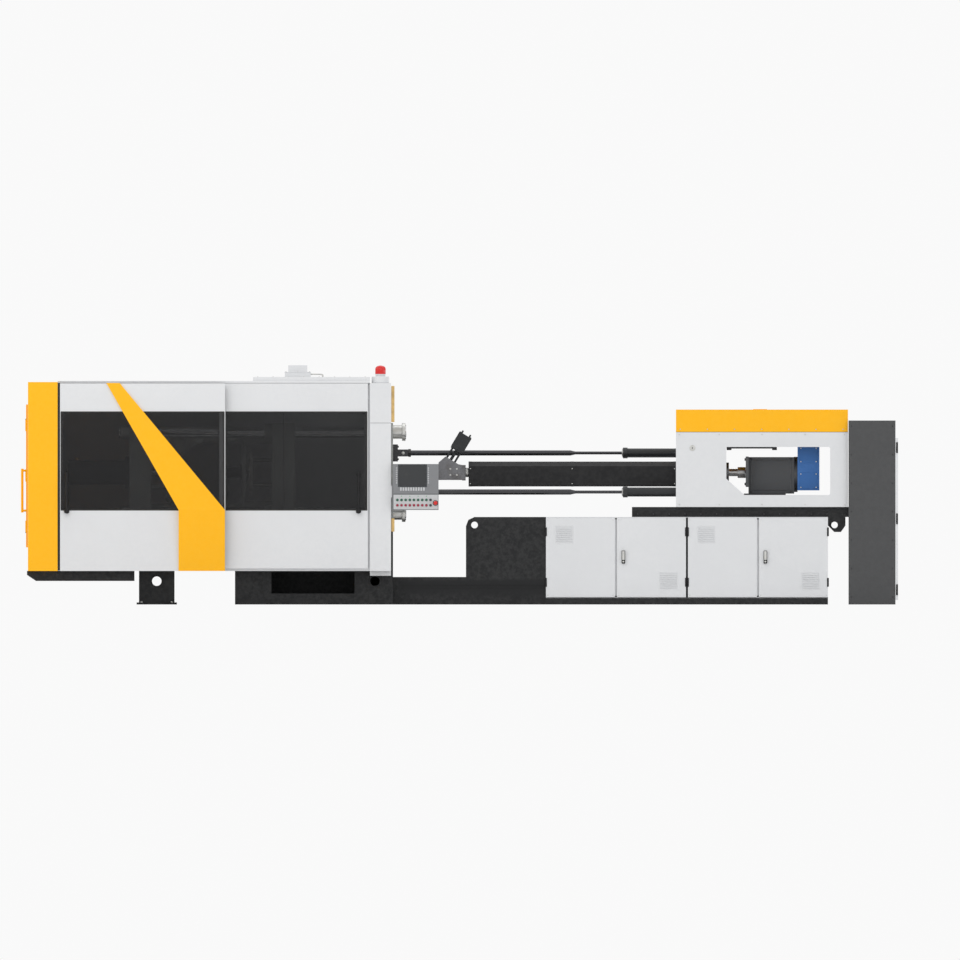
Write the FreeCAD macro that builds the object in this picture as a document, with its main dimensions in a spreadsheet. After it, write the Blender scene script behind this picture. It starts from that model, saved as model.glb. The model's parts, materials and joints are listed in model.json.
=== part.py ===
import FreeCAD, Part
import os
import Sketcher

# Injection moulding machine: toggle clamp unit, sliding guards, injection unit and its cabinets.
# Millimetres. +X runs from the clamp to the injection unit, -Y is the operator's side, +Z is up.
# The origin is on the floor, on the centre line, under the mould face of the stationary platen.

doc = FreeCAD.newDocument("InjectionMouldingMachine")
sheet = doc.addObject("Spreadsheet::Sheet", "Sizes")

SIZES = {
    # machine axis and platens
    "axisHeight": 1386, "tieSpacing": 850, "tieRadius": 60, "fixedPlaten": 294,
    "platenSize": 1040, "daylight": 735, "movingWall": 241, "platenDepth": 556, "rearWall": 42,
    "endPlaten": 230, "screwHole": 12, "locatingBore": 80, "screwPitch": 280,
    # toggle linkage
    "linkLength": 345, "foldAngle": 5, "pivotHeight": 372, "pivotReach": 105, "earReach": 160,
    "earWall": 60, "linkWall": 55, "linkInner": 105, "linkGap": 10, "bossRadius": 52,
    "pinRadius": 32, "runFit": 0.1, "armRadius": 226.4, "armAngle": 52.7, "shortLink": 110,
    "shortAngle": 136.9, "bridgeReach": 52, "shortBoss": 34, "shortPin": 18, "openPinGap": 2.5,
    "crossheadWall": 70, "crossheadHalf": 98, "guideRadius": 25, "guideOffset": 150,
    "rodRadius": 42, "boreRadius": 90, "cylinderRadius": 130, "cylinderLength": 640,
    # clamp bed
    "bedTop": 770, "bedBottom": 352, "bedInner": 400, "bedOuter": 560, "bedLength": 3150,
    "legX": -2373, "legLength": 373, "pedestalX": -1365, "pedestalLength": 1659,
    "recessX": -983, "recessLength": 873, "recessHeight": 226, "recessFoot": 115,
    "liftHeight": 245, "liftRadius": 50,
    # guards
    "guardHalf": 900, "doorProud": 100, "sheetWall": 3, "panelWall": 30, "frameTube": 60,
    "guardBottom": 352, "guardTop": 2326, "windowBottom": 998, "windowTop": 2016, "glassWall": 6,
    "endCoverX": -3559, "endCoverLength": 331, "toggleDoorX": -3202, "toggleDoorLength": 1732,
    "mouldDoorX": -1470, "mouldDoorLength": 1500, "columnX": 52, "columnLength": 221,
    "doorGap": 4, "handleLength": 430, "handleReach": 55, "roofWall": 40,
    # injection unit
    "injectionHalf": 430, "baseHalf": 470, "baseTop": 919, "barrelRadius": 75, "screwRadius": 32,
    "nozzleX": 1040, "coverX": 1087, "coverBottom": "=axisHeight - 147",
    "coverTop": "=axisHeight + 115",
    "coverHalf": 160, "housingX": 3265, "housingLength": 1806, "housingBottom": 1024,
    "housingTop": 2047, "topHeight": 236, "railX": 2803, "railHeight": 105,
    "cabinetX": 1900, "cabinetLength": 1470, "cabinetGap": 21, "cabinetHeight": 850,
    "cabinetPitch": "=cabinetLength + cabinetGap",
    "cabinetFoot": 68, "cabinetHalf": 500, "doorWall": 22,
    "tallGap": 216, "tallX": "=cabinetX + cabinetPitch + cabinetLength + tallGap", "tallLength": 493,
    "tallHeight": 1932, "tallHalf": 480, "railLength": "=tallX - railX",
    "carriageRod": 28, "carriageRadius": 48, "carriageZ": 205, "carriageY": 260,
}
for row, (alias, value) in enumerate(SIZES.items(), 1):
    sheet.set(f"A{row}", alias)
    sheet.setAlias(f"B{row}", alias)
    sheet.set(f"B{row}", str(value))
doc.recompute()

probe = doc.addObject("App::FeaturePython", "Probe")
X, Y, Z = FreeCAD.Vector(1, 0, 0), FreeCAD.Vector(0, 1, 0), FreeCAD.Vector(0, 0, 1)
nodes = []


def expr(text):
    """Put the sheet's name before every alias in an expression."""
    out, word = "", ""
    for char in str(text) + " ":
        if char.isalnum() or char == "_":
            word += char
        else:
            out += ("Sizes." + word if word in SIZES else word) + char
            word = ""
    return out.strip()


def place(obj, at, axis=None, angle=0):
    """Set the object's place from three expressions, turned about an axis."""
    if axis is not None:
        obj.Placement = FreeCAD.Placement(FreeCAD.Vector(), FreeCAD.Rotation(axis, 1))
        obj.setExpression("Placement.Rotation.Angle", expr(angle))
    for letter, text in zip("xyz", at):
        obj.setExpression("Placement.Base." + letter, expr(text))
    return obj


def box(at, size):
    """A block from its low corner and its three lengths."""
    obj = doc.addObject("Part::Box", "Block")
    for name, text in zip(("Length", "Width", "Height"), size):
        obj.setExpression(name, expr(text))
    return place(obj, at)


def rod(at, along, radius, length):
    """A cylinder from its start point, along X, Y or Z."""
    obj = doc.addObject("Part::Cylinder", "Round")
    obj.setExpression("Radius", expr(radius))
    obj.setExpression("Height", expr(length))
    if along == "x":
        return place(obj, at, Y, 90)
    if along == "y":
        return place(obj, at, X, -90)
    return place(obj, at)


def fuse(parts):
    if len(parts) == 1:
        return parts[0]
    obj = doc.addObject("Part::MultiFuse", "Joined")
    obj.Shapes = parts
    obj.Refine = True
    return obj


def cut(base, tools):
    obj = doc.addObject("Part::Cut", "Cut")
    obj.Base = base
    obj.Tool = fuse(tools)
    obj.Refine = True
    return obj


def group(parts):
    """Several equal pieces kept in one sub-part."""
    obj = doc.addObject("Part::Compound", "Group")
    obj.Links = parts
    return obj


def sketch(body, plane, outline, holes=()):
    """A closed outline of points, and round holes, every place bound to the sheet."""
    sk = body.newObject("Sketcher::SketchObject", "Profile")
    origin = [o for o in body.Origin.OriginFeatures if o.Role == plane + "_Plane"][0]
    sk.AttachmentSupport = [(origin, "")]
    sk.MapMode = "FlatFace"
    count = len(outline)
    start = [(sheetValue(a), sheetValue(b)) for a, b in outline]
    for i in range(count):
        p, q = start[i], start[(i + 1) % count]
        sk.addGeometry(Part.LineSegment(FreeCAD.Vector(*p, 0), FreeCAD.Vector(*q, 0)), False)
    for i in range(count):
        sk.addConstraint(Sketcher.Constraint("Coincident", i, 2, (i + 1) % count, 1))
    for i in range(count):
        for kind, text, value in (("DistanceX", outline[i][0], start[i][0]),
                                  ("DistanceY", outline[i][1], start[i][1])):
            k = sk.addConstraint(Sketcher.Constraint(kind, -1, 1, i, 1, value))
            sk.setExpression(f"Constraints[{k}]", expr(text))
    for a, b, radius in holes:
        centre = FreeCAD.Vector(sheetValue(a), sheetValue(b), 0)
        g = sk.addGeometry(Part.Circle(centre, FreeCAD.Vector(0, 0, 1), sheetValue(radius)), False)
        for kind, text, value in (("DistanceX", a, centre.x), ("DistanceY", b, centre.y)):
            k = sk.addConstraint(Sketcher.Constraint(kind, -1, 1, g, 3, value))
            sk.setExpression(f"Constraints[{k}]", expr(text))
        k = sk.addConstraint(Sketcher.Constraint("Radius", g, sheetValue(radius)))
        sk.setExpression(f"Constraints[{k}]", expr(radius))
    return sk


def sheetValue(text):
    """The number that an expression gives now, to start a sketch near its answer."""
    value = probe.evalExpression(expr(text))
    return float(getattr(value, "Value", value))


def padded(plane, outline, thickness, at=(0, 0, 0), holes=(), round_=None):
    """A plate: an outline padded evenly about its plane, its corners rounded on request."""
    body = doc.addObject("PartDesign::Body", "Plate")
    profile = sketch(body, plane, outline, holes)
    pad = body.newObject("PartDesign::Pad", "Pad")
    pad.Profile = profile
    pad.Midplane = True
    pad.setExpression("Length", expr(thickness))
    doc.recompute()
    if round_ is not None:
        radius, wanted = round_
        normal = {"XY": Z, "XZ": Y, "YZ": X}[plane]
        edges = []
        for i, edge in enumerate(pad.Shape.Edges, 1):
            if len(edge.Vertexes) < 2 or edge.Curve.TypeId != "Part::GeomLine":
                continue
            if abs(edge.Curve.Direction.dot(normal)) > 0.99 and wanted(edge.CenterOfMass):
                edges.append(f"Edge{i}")
        fillet = body.newObject("PartDesign::Fillet", "Rounding")
        fillet.Base = (pad, edges)
        fillet.setExpression("Radius", expr(radius))
        body.Tip = fillet
    return place(body, at)


def turned(profile, at, along="x"):
    """A turned piece: (distance along the axis, radius) points revolved about the axis."""
    body = doc.addObject("PartDesign::Body", "Turned")
    sk = sketch(body, "XY", profile)
    rev = body.newObject("PartDesign::Revolution", "Revolution")
    rev.Profile = sk
    rev.ReferenceAxis = (sk, ["H_Axis"])
    rev.Angle = 360
    doc.recompute()
    if along == "y":
        return place(body, at, Z, 90)
    if along == "z":
        return place(body, at, Y, -90)
    return place(body, at)


def node(name, obj):
    obj.Label = name
    nodes.append(obj)
    return obj


# ---- places that several pieces share ----
platenPivotX = "(-daylight - platenDepth - pivotReach)"
rearPivotX = "(-daylight - platenDepth - pivotReach - 2 * linkLength * cos(foldAngle))"
elbowX = f"({rearPivotX} + linkLength * cos(foldAngle))"
armX = f"({rearPivotX} + armRadius * cos(foldAngle + armAngle))"
headX = f"({armX} + shortLink * cos(shortAngle))"
endFaceX = f"({rearPivotX} - earReach)"
endRearX = f"({rearPivotX} - earReach - endPlaten)"
earY = "(linkInner + 2 * linkWall + 2 * linkGap)"
halfTie = "tieSpacing / 2"
SIDES = (-1, 1)
CORNERS = [(a, b) for a in SIDES for b in SIDES]


def above(side, height):
    """A height above (+1) or below (-1) the machine axis."""
    return f"(axisHeight + {side} * ({height}))"


elbowUp = "pivotHeight - linkLength * sin(foldAngle)"
armUp = "pivotHeight - armRadius * sin(foldAngle + armAngle)"
headUp = f"{armUp} + shortLink * sin(shortAngle)"


def acrossY(x, z, radius, low, high):
    """A round bar along Y between two places."""
    return rod((x, low, z), "y", radius, f"{high} - ({low})")


def tieBores(x, length, radius):
    return [rod((x, f"{a} * {halfTie}", above(b, halfTie)), "x", radius, length)
            for a, b in CORNERS]


def mouldHoles(x):
    """The square grid of tapped holes that moulds are clamped to."""
    offsets = ("-1.5 * screwPitch", "-0.5 * screwPitch", "0.5 * screwPitch", "1.5 * screwPitch")
    return [rod((x, a, f"axisHeight + {b}"), "x", "screwHole", 60)
            for a in offsets for b in offsets
            if not (a.startswith(("-1.5", "1.5")) and b.startswith(("-1.5", "1.5")))]


# ---- clamp bed ----
def clampBed():
    """Beams, ties, legs and a pedestal that butt against each other."""
    beams = [box((endRearX, y, "bedBottom"), (f"fixedPlaten - {endRearX}", "bedOuter - bedInner",
                                              "bedTop - bedBottom"))
             for y in ("bedInner", "-bedOuter")]
    ties = [box((x, "-bedInner", "bedBottom"), (180, "2 * bedInner", "bedTop - bedBottom - 60"))
            for x in (endRearX, "pedestalX", "fixedPlaten - 180")]
    foot = [box(("legX - 25", y, 0), ("legLength + 50", "bedOuter - bedInner + 100", 22))
            for y in ("bedInner - 50", "-bedOuter - 50")]
    y, wide, recessTop = "-bedOuter - 60", "2 * bedOuter + 120", "(recessFoot + recessHeight)"
    recessEnd = "(recessX + recessLength)"
    pedestal = [box(("pedestalX", y, 0), ("pedestalLength", wide, "recessFoot")),
                box(("pedestalX", y, recessTop), ("pedestalLength", wide, f"bedBottom - {recessTop}")),
                box(("pedestalX", y, "recessFoot"), ("recessX - pedestalX", wide, "recessHeight"))]
    block = box((recessEnd, y, "recessFoot"), (f"pedestalX + pedestalLength - {recessEnd}", wide, "recessHeight"))
    pedestal.append(box(("recessX", "bedOuter + 40", "recessFoot"), ("recessLength", 20, "recessHeight")))
    bored = [cut(block, [acrossY("pedestalX + pedestalLength - 190", "liftHeight", "liftRadius",
                                 "-bedOuter - 70", "bedOuter + 40")])]
    for y in ("bedInner - 20", "-bedOuter - 20"):
        leg = box(("legX", y, 22), ("legLength", "bedOuter - bedInner + 40", "bedBottom - 22"))
        bored.append(cut(leg, [acrossY("legX + legLength / 2", "liftHeight", "liftRadius",
                                       "-bedOuter - 70", "bedOuter + 70")]))
    return group(beams + ties + foot + pedestal + bored)


def bedWays():
    return group([box((endFaceX, y, "bedTop"), (f"-({endFaceX}) - 20", 110, 20))
                  for y in ("bedInner + 25", "-bedInner - 135")])


# ---- platens and tie bars ----
def platenFeet(x, length):
    return [box((x, y, "bedTop"), (length, "bedOuter - bedInner",
                                   "axisHeight - platenSize / 2 - bedTop + 5"))
            for y in ("bedInner", "-bedOuter")]


def square(x, length):
    half = "platenSize / 2"
    return box((x, f"-{half}", f"axisHeight - {half}"), (length, "platenSize", "platenSize"))


def stationaryPlaten():
    body = fuse([square("0", "fixedPlaten")] + platenFeet("0", "fixedPlaten"))
    bore = rod(("-1", 0, "axisHeight"), "x", "locatingBore", "fixedPlaten + 2")
    dish = rod(("fixedPlaten / 2", 0, "axisHeight"), "x", "2 * locatingBore", "fixedPlaten / 2 + 1")
    return cut(body, [bore, dish] + tieBores("-1", "fixedPlaten + 2", "tieRadius") + mouldHoles("-1"))


def ears(x, length, side):
    """Two ears that carry a pivot pin, one on each side of the links."""
    height = above(side, "pivotHeight")
    parts = []
    for y in (earY, f"-{earY} - earWall"):
        parts.append(box((x, y, f"{height} - 0.9 * bossRadius"), (length, "earWall", "1.8 * bossRadius")))
    return parts


def earBosses(x, side):
    height = above(side, "pivotHeight")
    return [acrossY(x, height, "bossRadius", low, high)
            for low, high in ((earY, f"{earY} + earWall"), (f"-{earY} - earWall", f"-{earY}"))]


def endPlatenCasting():
    parts = [square(endRearX, "endPlaten")] + platenFeet(endRearX, "endPlaten")
    for side in SIDES:
        parts += ears(f"{endFaceX} - 5", "earReach + 5", side) + earBosses(rearPivotX, side)
    holes = tieBores(f"{endRearX} - 1", "endPlaten + 2", "tieRadius")
    holes.append(rod((f"{endRearX} - 1", 0, "axisHeight"), "x", "rodRadius + 1", "endPlaten + 2"))
    pins = [acrossY(rearPivotX, above(side, "pivotHeight"), "pinRadius", f"-{earY} - earWall - 12",
                    f"{earY} + earWall + 12") for side in SIDES]
    return fuse([cut(fuse(parts), holes)] + pins)


def movingPlaten():
    front, rear = "(-daylight - movingWall)", "(-daylight - platenDepth)"
    half = "platenSize / 2"
    parts = [square(front, "movingWall"),
             box((rear, "-earWall - 245", f"axisHeight - {half} + 60"),
                 ("rearWall", "2 * earWall + 490", "platenSize - 120"))]
    span = "platenDepth - movingWall - rearWall"
    for side in SIDES:
        parts.append(box((f"{rear} + rearWall - 1", "-earWall - 245", above(side, 300) + f" + {side} * 40 - 40"),
                         (f"{span} + 2", "2 * earWall + 490", 80)))
        parts += ears(f"{platenPivotX}", "pivotReach + 5", side) + earBosses(platenPivotX, side)
        parts.append(acrossY(platenPivotX, above(side, "pivotHeight"), "pinRadius",
                             f"-{earY} - 1", f"{earY} + 1"))
    for a, b in CORNERS:
        parts.append(rod((f"{front} - 80", f"{a} * {halfTie}", above(b, halfTie)), "x",
                         "tieRadius + 28", 81))
    parts += [box((rear + " + rearWall", y, "bedTop + 20.3"), ("platenDepth - rearWall",
                                                    "bedOuter - bedInner - 50",
                                                    f"axisHeight - {half} - bedTop - 15"))
              for y in ("bedInner + 25", "-bedOuter + 25")]
    holes = tieBores(f"{front} - 90", "movingWall + 100", "tieRadius + 0.3") + mouldHoles("-daylight - 59")
    holes.append(rod((f"{rear} - 1", 0, "axisHeight"), "x", 46, "rearWall + 2"))
    holes += [rod((f"{front} - 1", 0, above(side, 130)), "x", 20.3, "movingWall + 2") for side in SIDES]
    holes.append(rod(("-daylight - 30", 0, "axisHeight"), "x", "locatingBore", 31))
    return cut(fuse(parts), holes)


def tieBars():
    length = f"fixedPlaten + 136 - ({endRearX} - 110)"
    return group([rod((f"{endRearX} - 110", f"{a} * {halfTie}", above(b, halfTie)), "x",
                      "tieRadius", length) for a, b in CORNERS])


def tieBarNuts():
    nuts = []
    for x, length in (("fixedPlaten", 95), (f"{endRearX} - 90", 90)):
        for a, b in CORNERS:
            y, z = f"{a} * {halfTie}", above(b, halfTie)
            nuts.append(cut(rod((x, y, z), "x", "tieRadius + 12", length),
                            [rod((x, y, z), "x", "tieRadius", length)]))
    return group(nuts)


node("clamp_bed", clampBed())
node("bed_ways", bedWays())
node("stationary_platen", stationaryPlaten())
node("end_platen", endPlatenCasting())
node("moving_platen", movingPlaten())
node("tie_bars", tieBars())
node("tie_bar_nuts", tieBarNuts())


# ---- toggle linkage ----
def linkPlates(outline, near):
    """Two equal web plates at a distance from the centre plane."""
    return [padded("XZ", outline, "linkWall - 12", (0, f"{side} * ({near} + linkWall / 2)", 0))
            for side in SIDES]


def bosses(x, z, radius, near):
    return [acrossY(x, z, radius, low, high) for low, high in
            ((near, f"{near} + linkWall"), (f"-({near}) - linkWall", f"-({near})"))]


def bar(x1, z1, x2, z2, half):
    """The outline of a straight web between two nearly level pins."""
    return [(x1, f"{z1} - {half}"), (x2, f"{z2} - {half}"), (x2, f"{z2} + {half}"), (x1, f"{z1} + {half}")]


def rearLinks(side):
    outer = "(linkInner + linkWall + linkGap)"
    pivot, elbow, arm = above(side, "pivotHeight"), above(side, elbowUp), above(side, armUp)
    web = [(rearPivotX, pivot), (elbowX, elbow), (armX, arm)]
    parts = linkPlates(web, outer) + linkPlates(bar(rearPivotX, pivot, elbowX, elbow, 36), outer)
    parts += bosses(rearPivotX, pivot, "bossRadius", outer) + bosses(elbowX, elbow, "bossRadius", outer)
    parts += bosses(armX, arm, "shortBoss", outer)
    parts.append(acrossY(rearPivotX, pivot, "pinRadius + 10", f"-{outer}", outer))
    parts.append(acrossY(elbowX, elbow, "pinRadius", f"-{outer} - 1", f"{outer} + 1"))
    parts += [acrossY(armX, arm, "shortPin", low, high) for low, high in
              (("linkInner", f"{outer} + 1"), (f"-{outer} - 1", "-linkInner"))]
    return cut(fuse(parts), [acrossY(rearPivotX, pivot, "pinRadius + runFit", "-400", "400")])


def frontLinks(side, platenFit):
    elbow, pivot = above(side, elbowUp), above(side, "pivotHeight")
    parts = linkPlates(bar(elbowX, elbow, platenPivotX, pivot, 36), "linkInner")
    parts += bosses(elbowX, elbow, "bossRadius", "linkInner")
    parts += bosses(platenPivotX, pivot, "bossRadius", "linkInner")
    parts.append(acrossY(platenPivotX, pivot, "bossRadius - 4", "-linkInner", "linkInner"))
    return cut(fuse(parts), [acrossY(elbowX, elbow, "pinRadius + runFit", "-400", "400"),
                             acrossY(platenPivotX, pivot, f"pinRadius + {platenFit}", "-400", "400")])


def crossheadLinks(side):
    """Short links; a bridge beyond the crosshead's pin joins the two plates."""
    arm, head = above(side, armUp), above(side, headUp)
    dx, dz = "shortBoss * 0.8 * sin(shortAngle)", f"{side} * shortBoss * 0.8 * cos(shortAngle)"
    endX, end = f"({headX} + 60 * cos(shortAngle))", f"({head} + {side} * 60 * sin(shortAngle))"
    web = [(f"{armX} - {dx}", f"{arm} + {dz}"), (f"{armX} + {dx}", f"{arm} - {dz}"),
           (f"{endX} + {dx}", f"{end} - {dz}"), (f"{endX} - {dx}", f"{end} + {dz}")]
    bridge = acrossY(f"{headX} + bridgeReach * cos(shortAngle)",
                     f"{head} + {side} * bridgeReach * sin(shortAngle)", 11,
                     "-linkInner - 10", "linkInner + 10")
    parts = linkPlates(web, "linkInner") + [bridge]
    parts += bosses(armX, arm, "shortBoss", "linkInner") + bosses(headX, head, "shortBoss", "linkInner")
    return cut(fuse(parts), [acrossY(armX, arm, "shortPin + runFit", "-400", "400"),
                             acrossY(headX, head, "shortPin + openPinGap", "-400", "400")])


def crossheadBlock():
    parts = [box((f"{headX} - crossheadWall / 2", "-crossheadHalf", above(-1, headUp)),
                 ("crossheadWall", "2 * crossheadHalf", f"2 * ({headUp})"))]
    for side in SIDES:
        parts.append(acrossY(headX, above(side, headUp), "crossheadWall / 2", "-crossheadHalf", "crossheadHalf"))
        parts.append(acrossY(headX, above(side, headUp), "shortPin", "-linkInner - linkWall",
                             "linkInner + linkWall"))
    bores = [rod((f"{headX} - crossheadWall", 0, above(side, "guideOffset")), "x",
                 "guideRadius + runFit", "2 * crossheadWall") for side in SIDES]
    return cut(fuse(parts), bores)


def guideRods():
    return group([rod((endFaceX, 0, above(side, "guideOffset")), "x", "guideRadius",
                      "earReach + bossRadius + 30") for side in SIDES])


def clampCylinder():
    x, wall = f"({endRearX} - cylinderLength)", 45
    profile = [("0", "0"), ("0", "cylinderRadius"), (f"cylinderLength - {wall}", "cylinderRadius"),
               (f"cylinderLength - {wall}", "cylinderRadius + 40"), ("cylinderLength", "cylinderRadius + 40"),
               ("cylinderLength", "rodRadius + runFit"), (f"cylinderLength - {wall}", "rodRadius + runFit"),
               (f"cylinderLength - {wall}", "boreRadius"), (f"{wall}", "boreRadius"), (f"{wall}", "0")]
    return turned(profile, (x, 0, "axisHeight"))


def clampPiston():
    tail = f"({endRearX} - 190)"
    reach = f"{headX} - crossheadWall / 2 - {tail}"
    profile = [("0", "0"), ("0", "boreRadius - runFit"), ("60", "boreRadius - runFit"),
               ("60", "rodRadius"), (reach, "rodRadius"), (reach, "0")]
    return turned(profile, (tail, 0, "axisHeight"))


def ejectorCylinder():
    profile = [("0", "0"), ("0", "55"), ("150", "55"), ("150", "85"), ("169", "85"), ("169", "20.1"),
               ("150", "20.1"), ("150", "40"), ("20", "40"), ("20", "0")]
    return turned(profile, ("-daylight - platenDepth - 169", 0, "axisHeight"))


def ejectorPlate():
    x = "(-daylight - platenDepth + rearWall + 30)"
    back = "(-daylight - platenDepth - 147)"
    bar = box((x, -70, "axisHeight - 200"), (42, 140, 400))
    rods = [rod((f"{x} + 40", 0, above(side, 130)), "x", 20, f"-daylight - 4 - {x} - 40") for side in SIDES]
    stem = [rod((back, 0, "axisHeight"), "x", 20, f"{x} + 5 - {back}"),
            rod((back, 0, "axisHeight"), "x", 39.9, 25)]
    return fuse([bar] + rods + stem)


for side, word in ((1, "upper"), (-1, "lower")):
    node("rear_links_" + word, rearLinks(side))
    node("front_links_" + word, frontLinks(side, "runFit" if side > 0 else "0.5"))
    node("crosshead_links_" + word, crossheadLinks(side))
node("crosshead", crossheadBlock())
node("crosshead_guides", guideRods())
node("clamp_cylinder", clampCylinder())
node("clamp_piston", clampPiston())
node("ejector_cylinder", ejectorCylinder())
node("ejector_plate", ejectorPlate())


# ---- guards ----
frameOuter = "(guardHalf - panelWall - 4)"
frameInner = "(guardHalf - panelWall - 4 - frameTube)"
endX = "(endCoverX + 20)"


def bothSides(x, low, high, z, size):
    """Two equal blocks, one at each side of the centre plane."""
    length, height = size
    return [box((x, y, z), (length, f"({high}) - ({low})", height)) for y in (low, f"-({high})")]


def guardFrame():
    start = "(endCoverX + endCoverLength)"
    run = f"columnX - {start}"
    parts = bothSides(start, frameInner, frameOuter, "guardTop - frameTube", (run, "frameTube"))
    parts += bothSides(start, frameInner, frameOuter, "guardBottom", (run, "frameTube"))
    for x in (start, "mouldDoorX - frameTube", "columnX - frameTube"):
        parts += bothSides(x, frameInner, frameOuter, "guardBottom + 1", ("frameTube", "guardTop - guardBottom - 2"))
        parts.append(box((x, f"-{frameInner} - 1", "guardTop - frameTube"),
                         ("frameTube", f"2 * {frameInner} + 2", "frameTube")))
    parts.append(box((start, f"-{frameInner} - 1", "guardBottom"),
                     ("frameTube", f"2 * {frameInner} + 2", "frameTube")))
    for x in (f"{endRearX} + 60", "pedestalX + 60"):
        parts += bothSides(x, "bedOuter", f"({frameInner} + 1)", "bedBottom + 20", ("frameTube", 40))
    return fuse(parts)


def tray(at, size, wall, openFace, cutouts=()):
    """A folded sheet box that is open on one face, such as a door or a cover."""
    (x, y, z), (a, b, c) = at, size
    inner = {"+y": ((f"{x} + {wall}", f"{y} + {wall}", f"{z} + {wall}"),
                    (f"{a} - 2 * {wall}", b, f"{c} - 2 * {wall}")),
             "-y": ((f"{x} + {wall}", f"{y} - {wall}", f"{z} + {wall}"),
                    (f"{a} - 2 * {wall}", b, f"{c} - 2 * {wall}")),
             "+x": ((f"{x} + {wall}", f"{y} + {wall}", f"{z} + {wall}"),
                    (a, f"{b} - 2 * {wall}", f"{c} - 2 * {wall}")),
             "-x": ((f"{x} - {wall}", f"{y} + {wall}", f"{z} + {wall}"),
                    (a, f"{b} - 2 * {wall}", f"{c} - 2 * {wall}")),
             "-z": ((f"{x} + {wall}", f"{y} + {wall}", f"{z} - {wall}"),
                    (f"{a} - 2 * {wall}", f"{b} - 2 * {wall}", c))}[openFace]
    return cut(box(at, size), [box(*inner)] + list(cutouts))


def sheets(at, size, wall, openFace, cutouts=()):
    """The same shape as a tray, from five flat sheets that butt; cutouts go through the face."""
    axis, low = "xyz".index(openFace[1]), openFace[0] == "+"
    u, v = [k for k in range(3) if k != axis]

    def sheet_(start, length):
        at_, size_ = list(at), list(size)
        for k, value in start.items():
            at_[k] = f"{at[k]} + {value}"
        for k, value in length.items():
            size_[k] = value
        return box(tuple(at_), tuple(size_))

    face = sheet_({axis: "0" if low else f"({size[axis]}) - {wall}"}, {axis: wall})
    if cutouts:
        face = cut(face, list(cutouts))
    deep, depth = (wall if low else "0"), f"({size[axis]}) - {wall}"
    sides = [sheet_({axis: deep, u: shift}, {axis: depth, u: wall}) for shift in ("0", f"({size[u]}) - {wall}")]
    sides += [sheet_({axis: deep, u: wall, v: shift}, {axis: depth, u: f"({size[u]}) - 2 * {wall}", v: wall})
              for shift in ("0", f"({size[v]}) - {wall}")]
    return group([face] + sides)


def knuckle(x, y, z, length):
    """The round barrel of an upright hinge, centred on its axis."""
    return rod((x, y, z), "z", 8, length)


def windowHole(x, length, y):
    return box((f"{x} + 10", y, "windowBottom"), (f"{length} - 20", "panelWall + 20",
                                                "windowTop - windowBottom"))


def slidingDoor(x, length, outer, bottom):
    """A front door tray; outer is the distance of its face from the centre plane."""
    y = f"-({outer})"
    return sheets((x, y, bottom), (length, "panelWall", f"guardTop - doorGap - ({bottom})"), "sheetWall", "+y",
                  [windowHole(x, length, f"{y} - 10")])


def pane(x, length, outer):
    return box((f"{x} + 4", f"-({outer}) + sheetWall", "windowBottom - 20"),
               (f"{length} - 8", "glassWall", "windowTop - windowBottom + 40"))


def doorHandle(x, outer):
    """A bar on two posts in front of a door."""
    bottom, face = "windowBottom - 40", f"-({outer})"
    posts = [acrossY(x, f"{bottom} + {z}", 11, f"{face} - handleReach + 10", face)
             for z in ("22", "handleLength - 22")]
    grip = rod((x, f"{face} - handleReach + 14", bottom), "z", 14, "handleLength")
    return fuse(posts + [grip])


def ribbon():
    """The yellow folded band: its front outline and its side outline, kept where they meet."""
    face, right = "(guardHalf + doorProud)", "(toggleDoorX + toggleDoorLength)"
    front = padded("XZ", [(f"{right} - 1246", "guardTop"), (f"{right} - 487", "windowBottom - 6"),
                          (f"{right} - 487", "guardBottom"), (right, "guardBottom"),
                          (right, "windowBottom - 6"), (f"{right} - 1107", "guardTop")],
                   120, (0, f"-{face} - 60", 0))
    side = padded("YZ", [(f"-{face}", "guardBottom"), (f"-{face} - 14", "guardBottom"),
                         (f"-{face} - 60", "windowBottom - 6"), (f"-{face} - 10", "guardTop"),
                         (f"-{face}", "guardTop")],
                  3000, (f"{right} - 1000", 0, 0))
    obj = doc.addObject("Part::MultiCommon", "Band")
    obj.Shapes = [front, side]
    return obj


def endCover():
    return sheets((endX, "-guardHalf - doorProud", "guardBottom"),
                  ("endCoverLength - 20", "2 * (guardHalf + doorProud)", "guardTop + 10 - guardBottom"),
                  "sheetWall", "+x", [box((f"{endX} - 5", -480, 640), (20, 960, 1420))])


def endDoor():
    x = "endCoverX"
    panel = tray((x, -520, 600), ("19", 1040, 1500), "sheetWall", "+x")
    z, y = 966, -440
    posts = [rod((f"{x} - 40", y, z + dz), "x", 11, 41) for dz in (20, 440)]
    hinges = [knuckle(x, 520, up, 120) for up in (760, 1290, 1820)]
    return fuse([panel] + posts + hinges + [rod((f"{x} - 40", y, z), "z", 13, 460)])


def roofPanel():
    start = "(endCoverX + endCoverLength)"
    plate = box((start, "-guardHalf", "guardTop"), (f"columnX - {start}", "2 * guardHalf", 21))
    return cut(plate, [box(("mouldDoorX + 330", "-guardHalf + 200", "guardTop - 1"),
                           ("mouldDoorLength - 380", "2 * guardHalf - 400", 30))])


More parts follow.
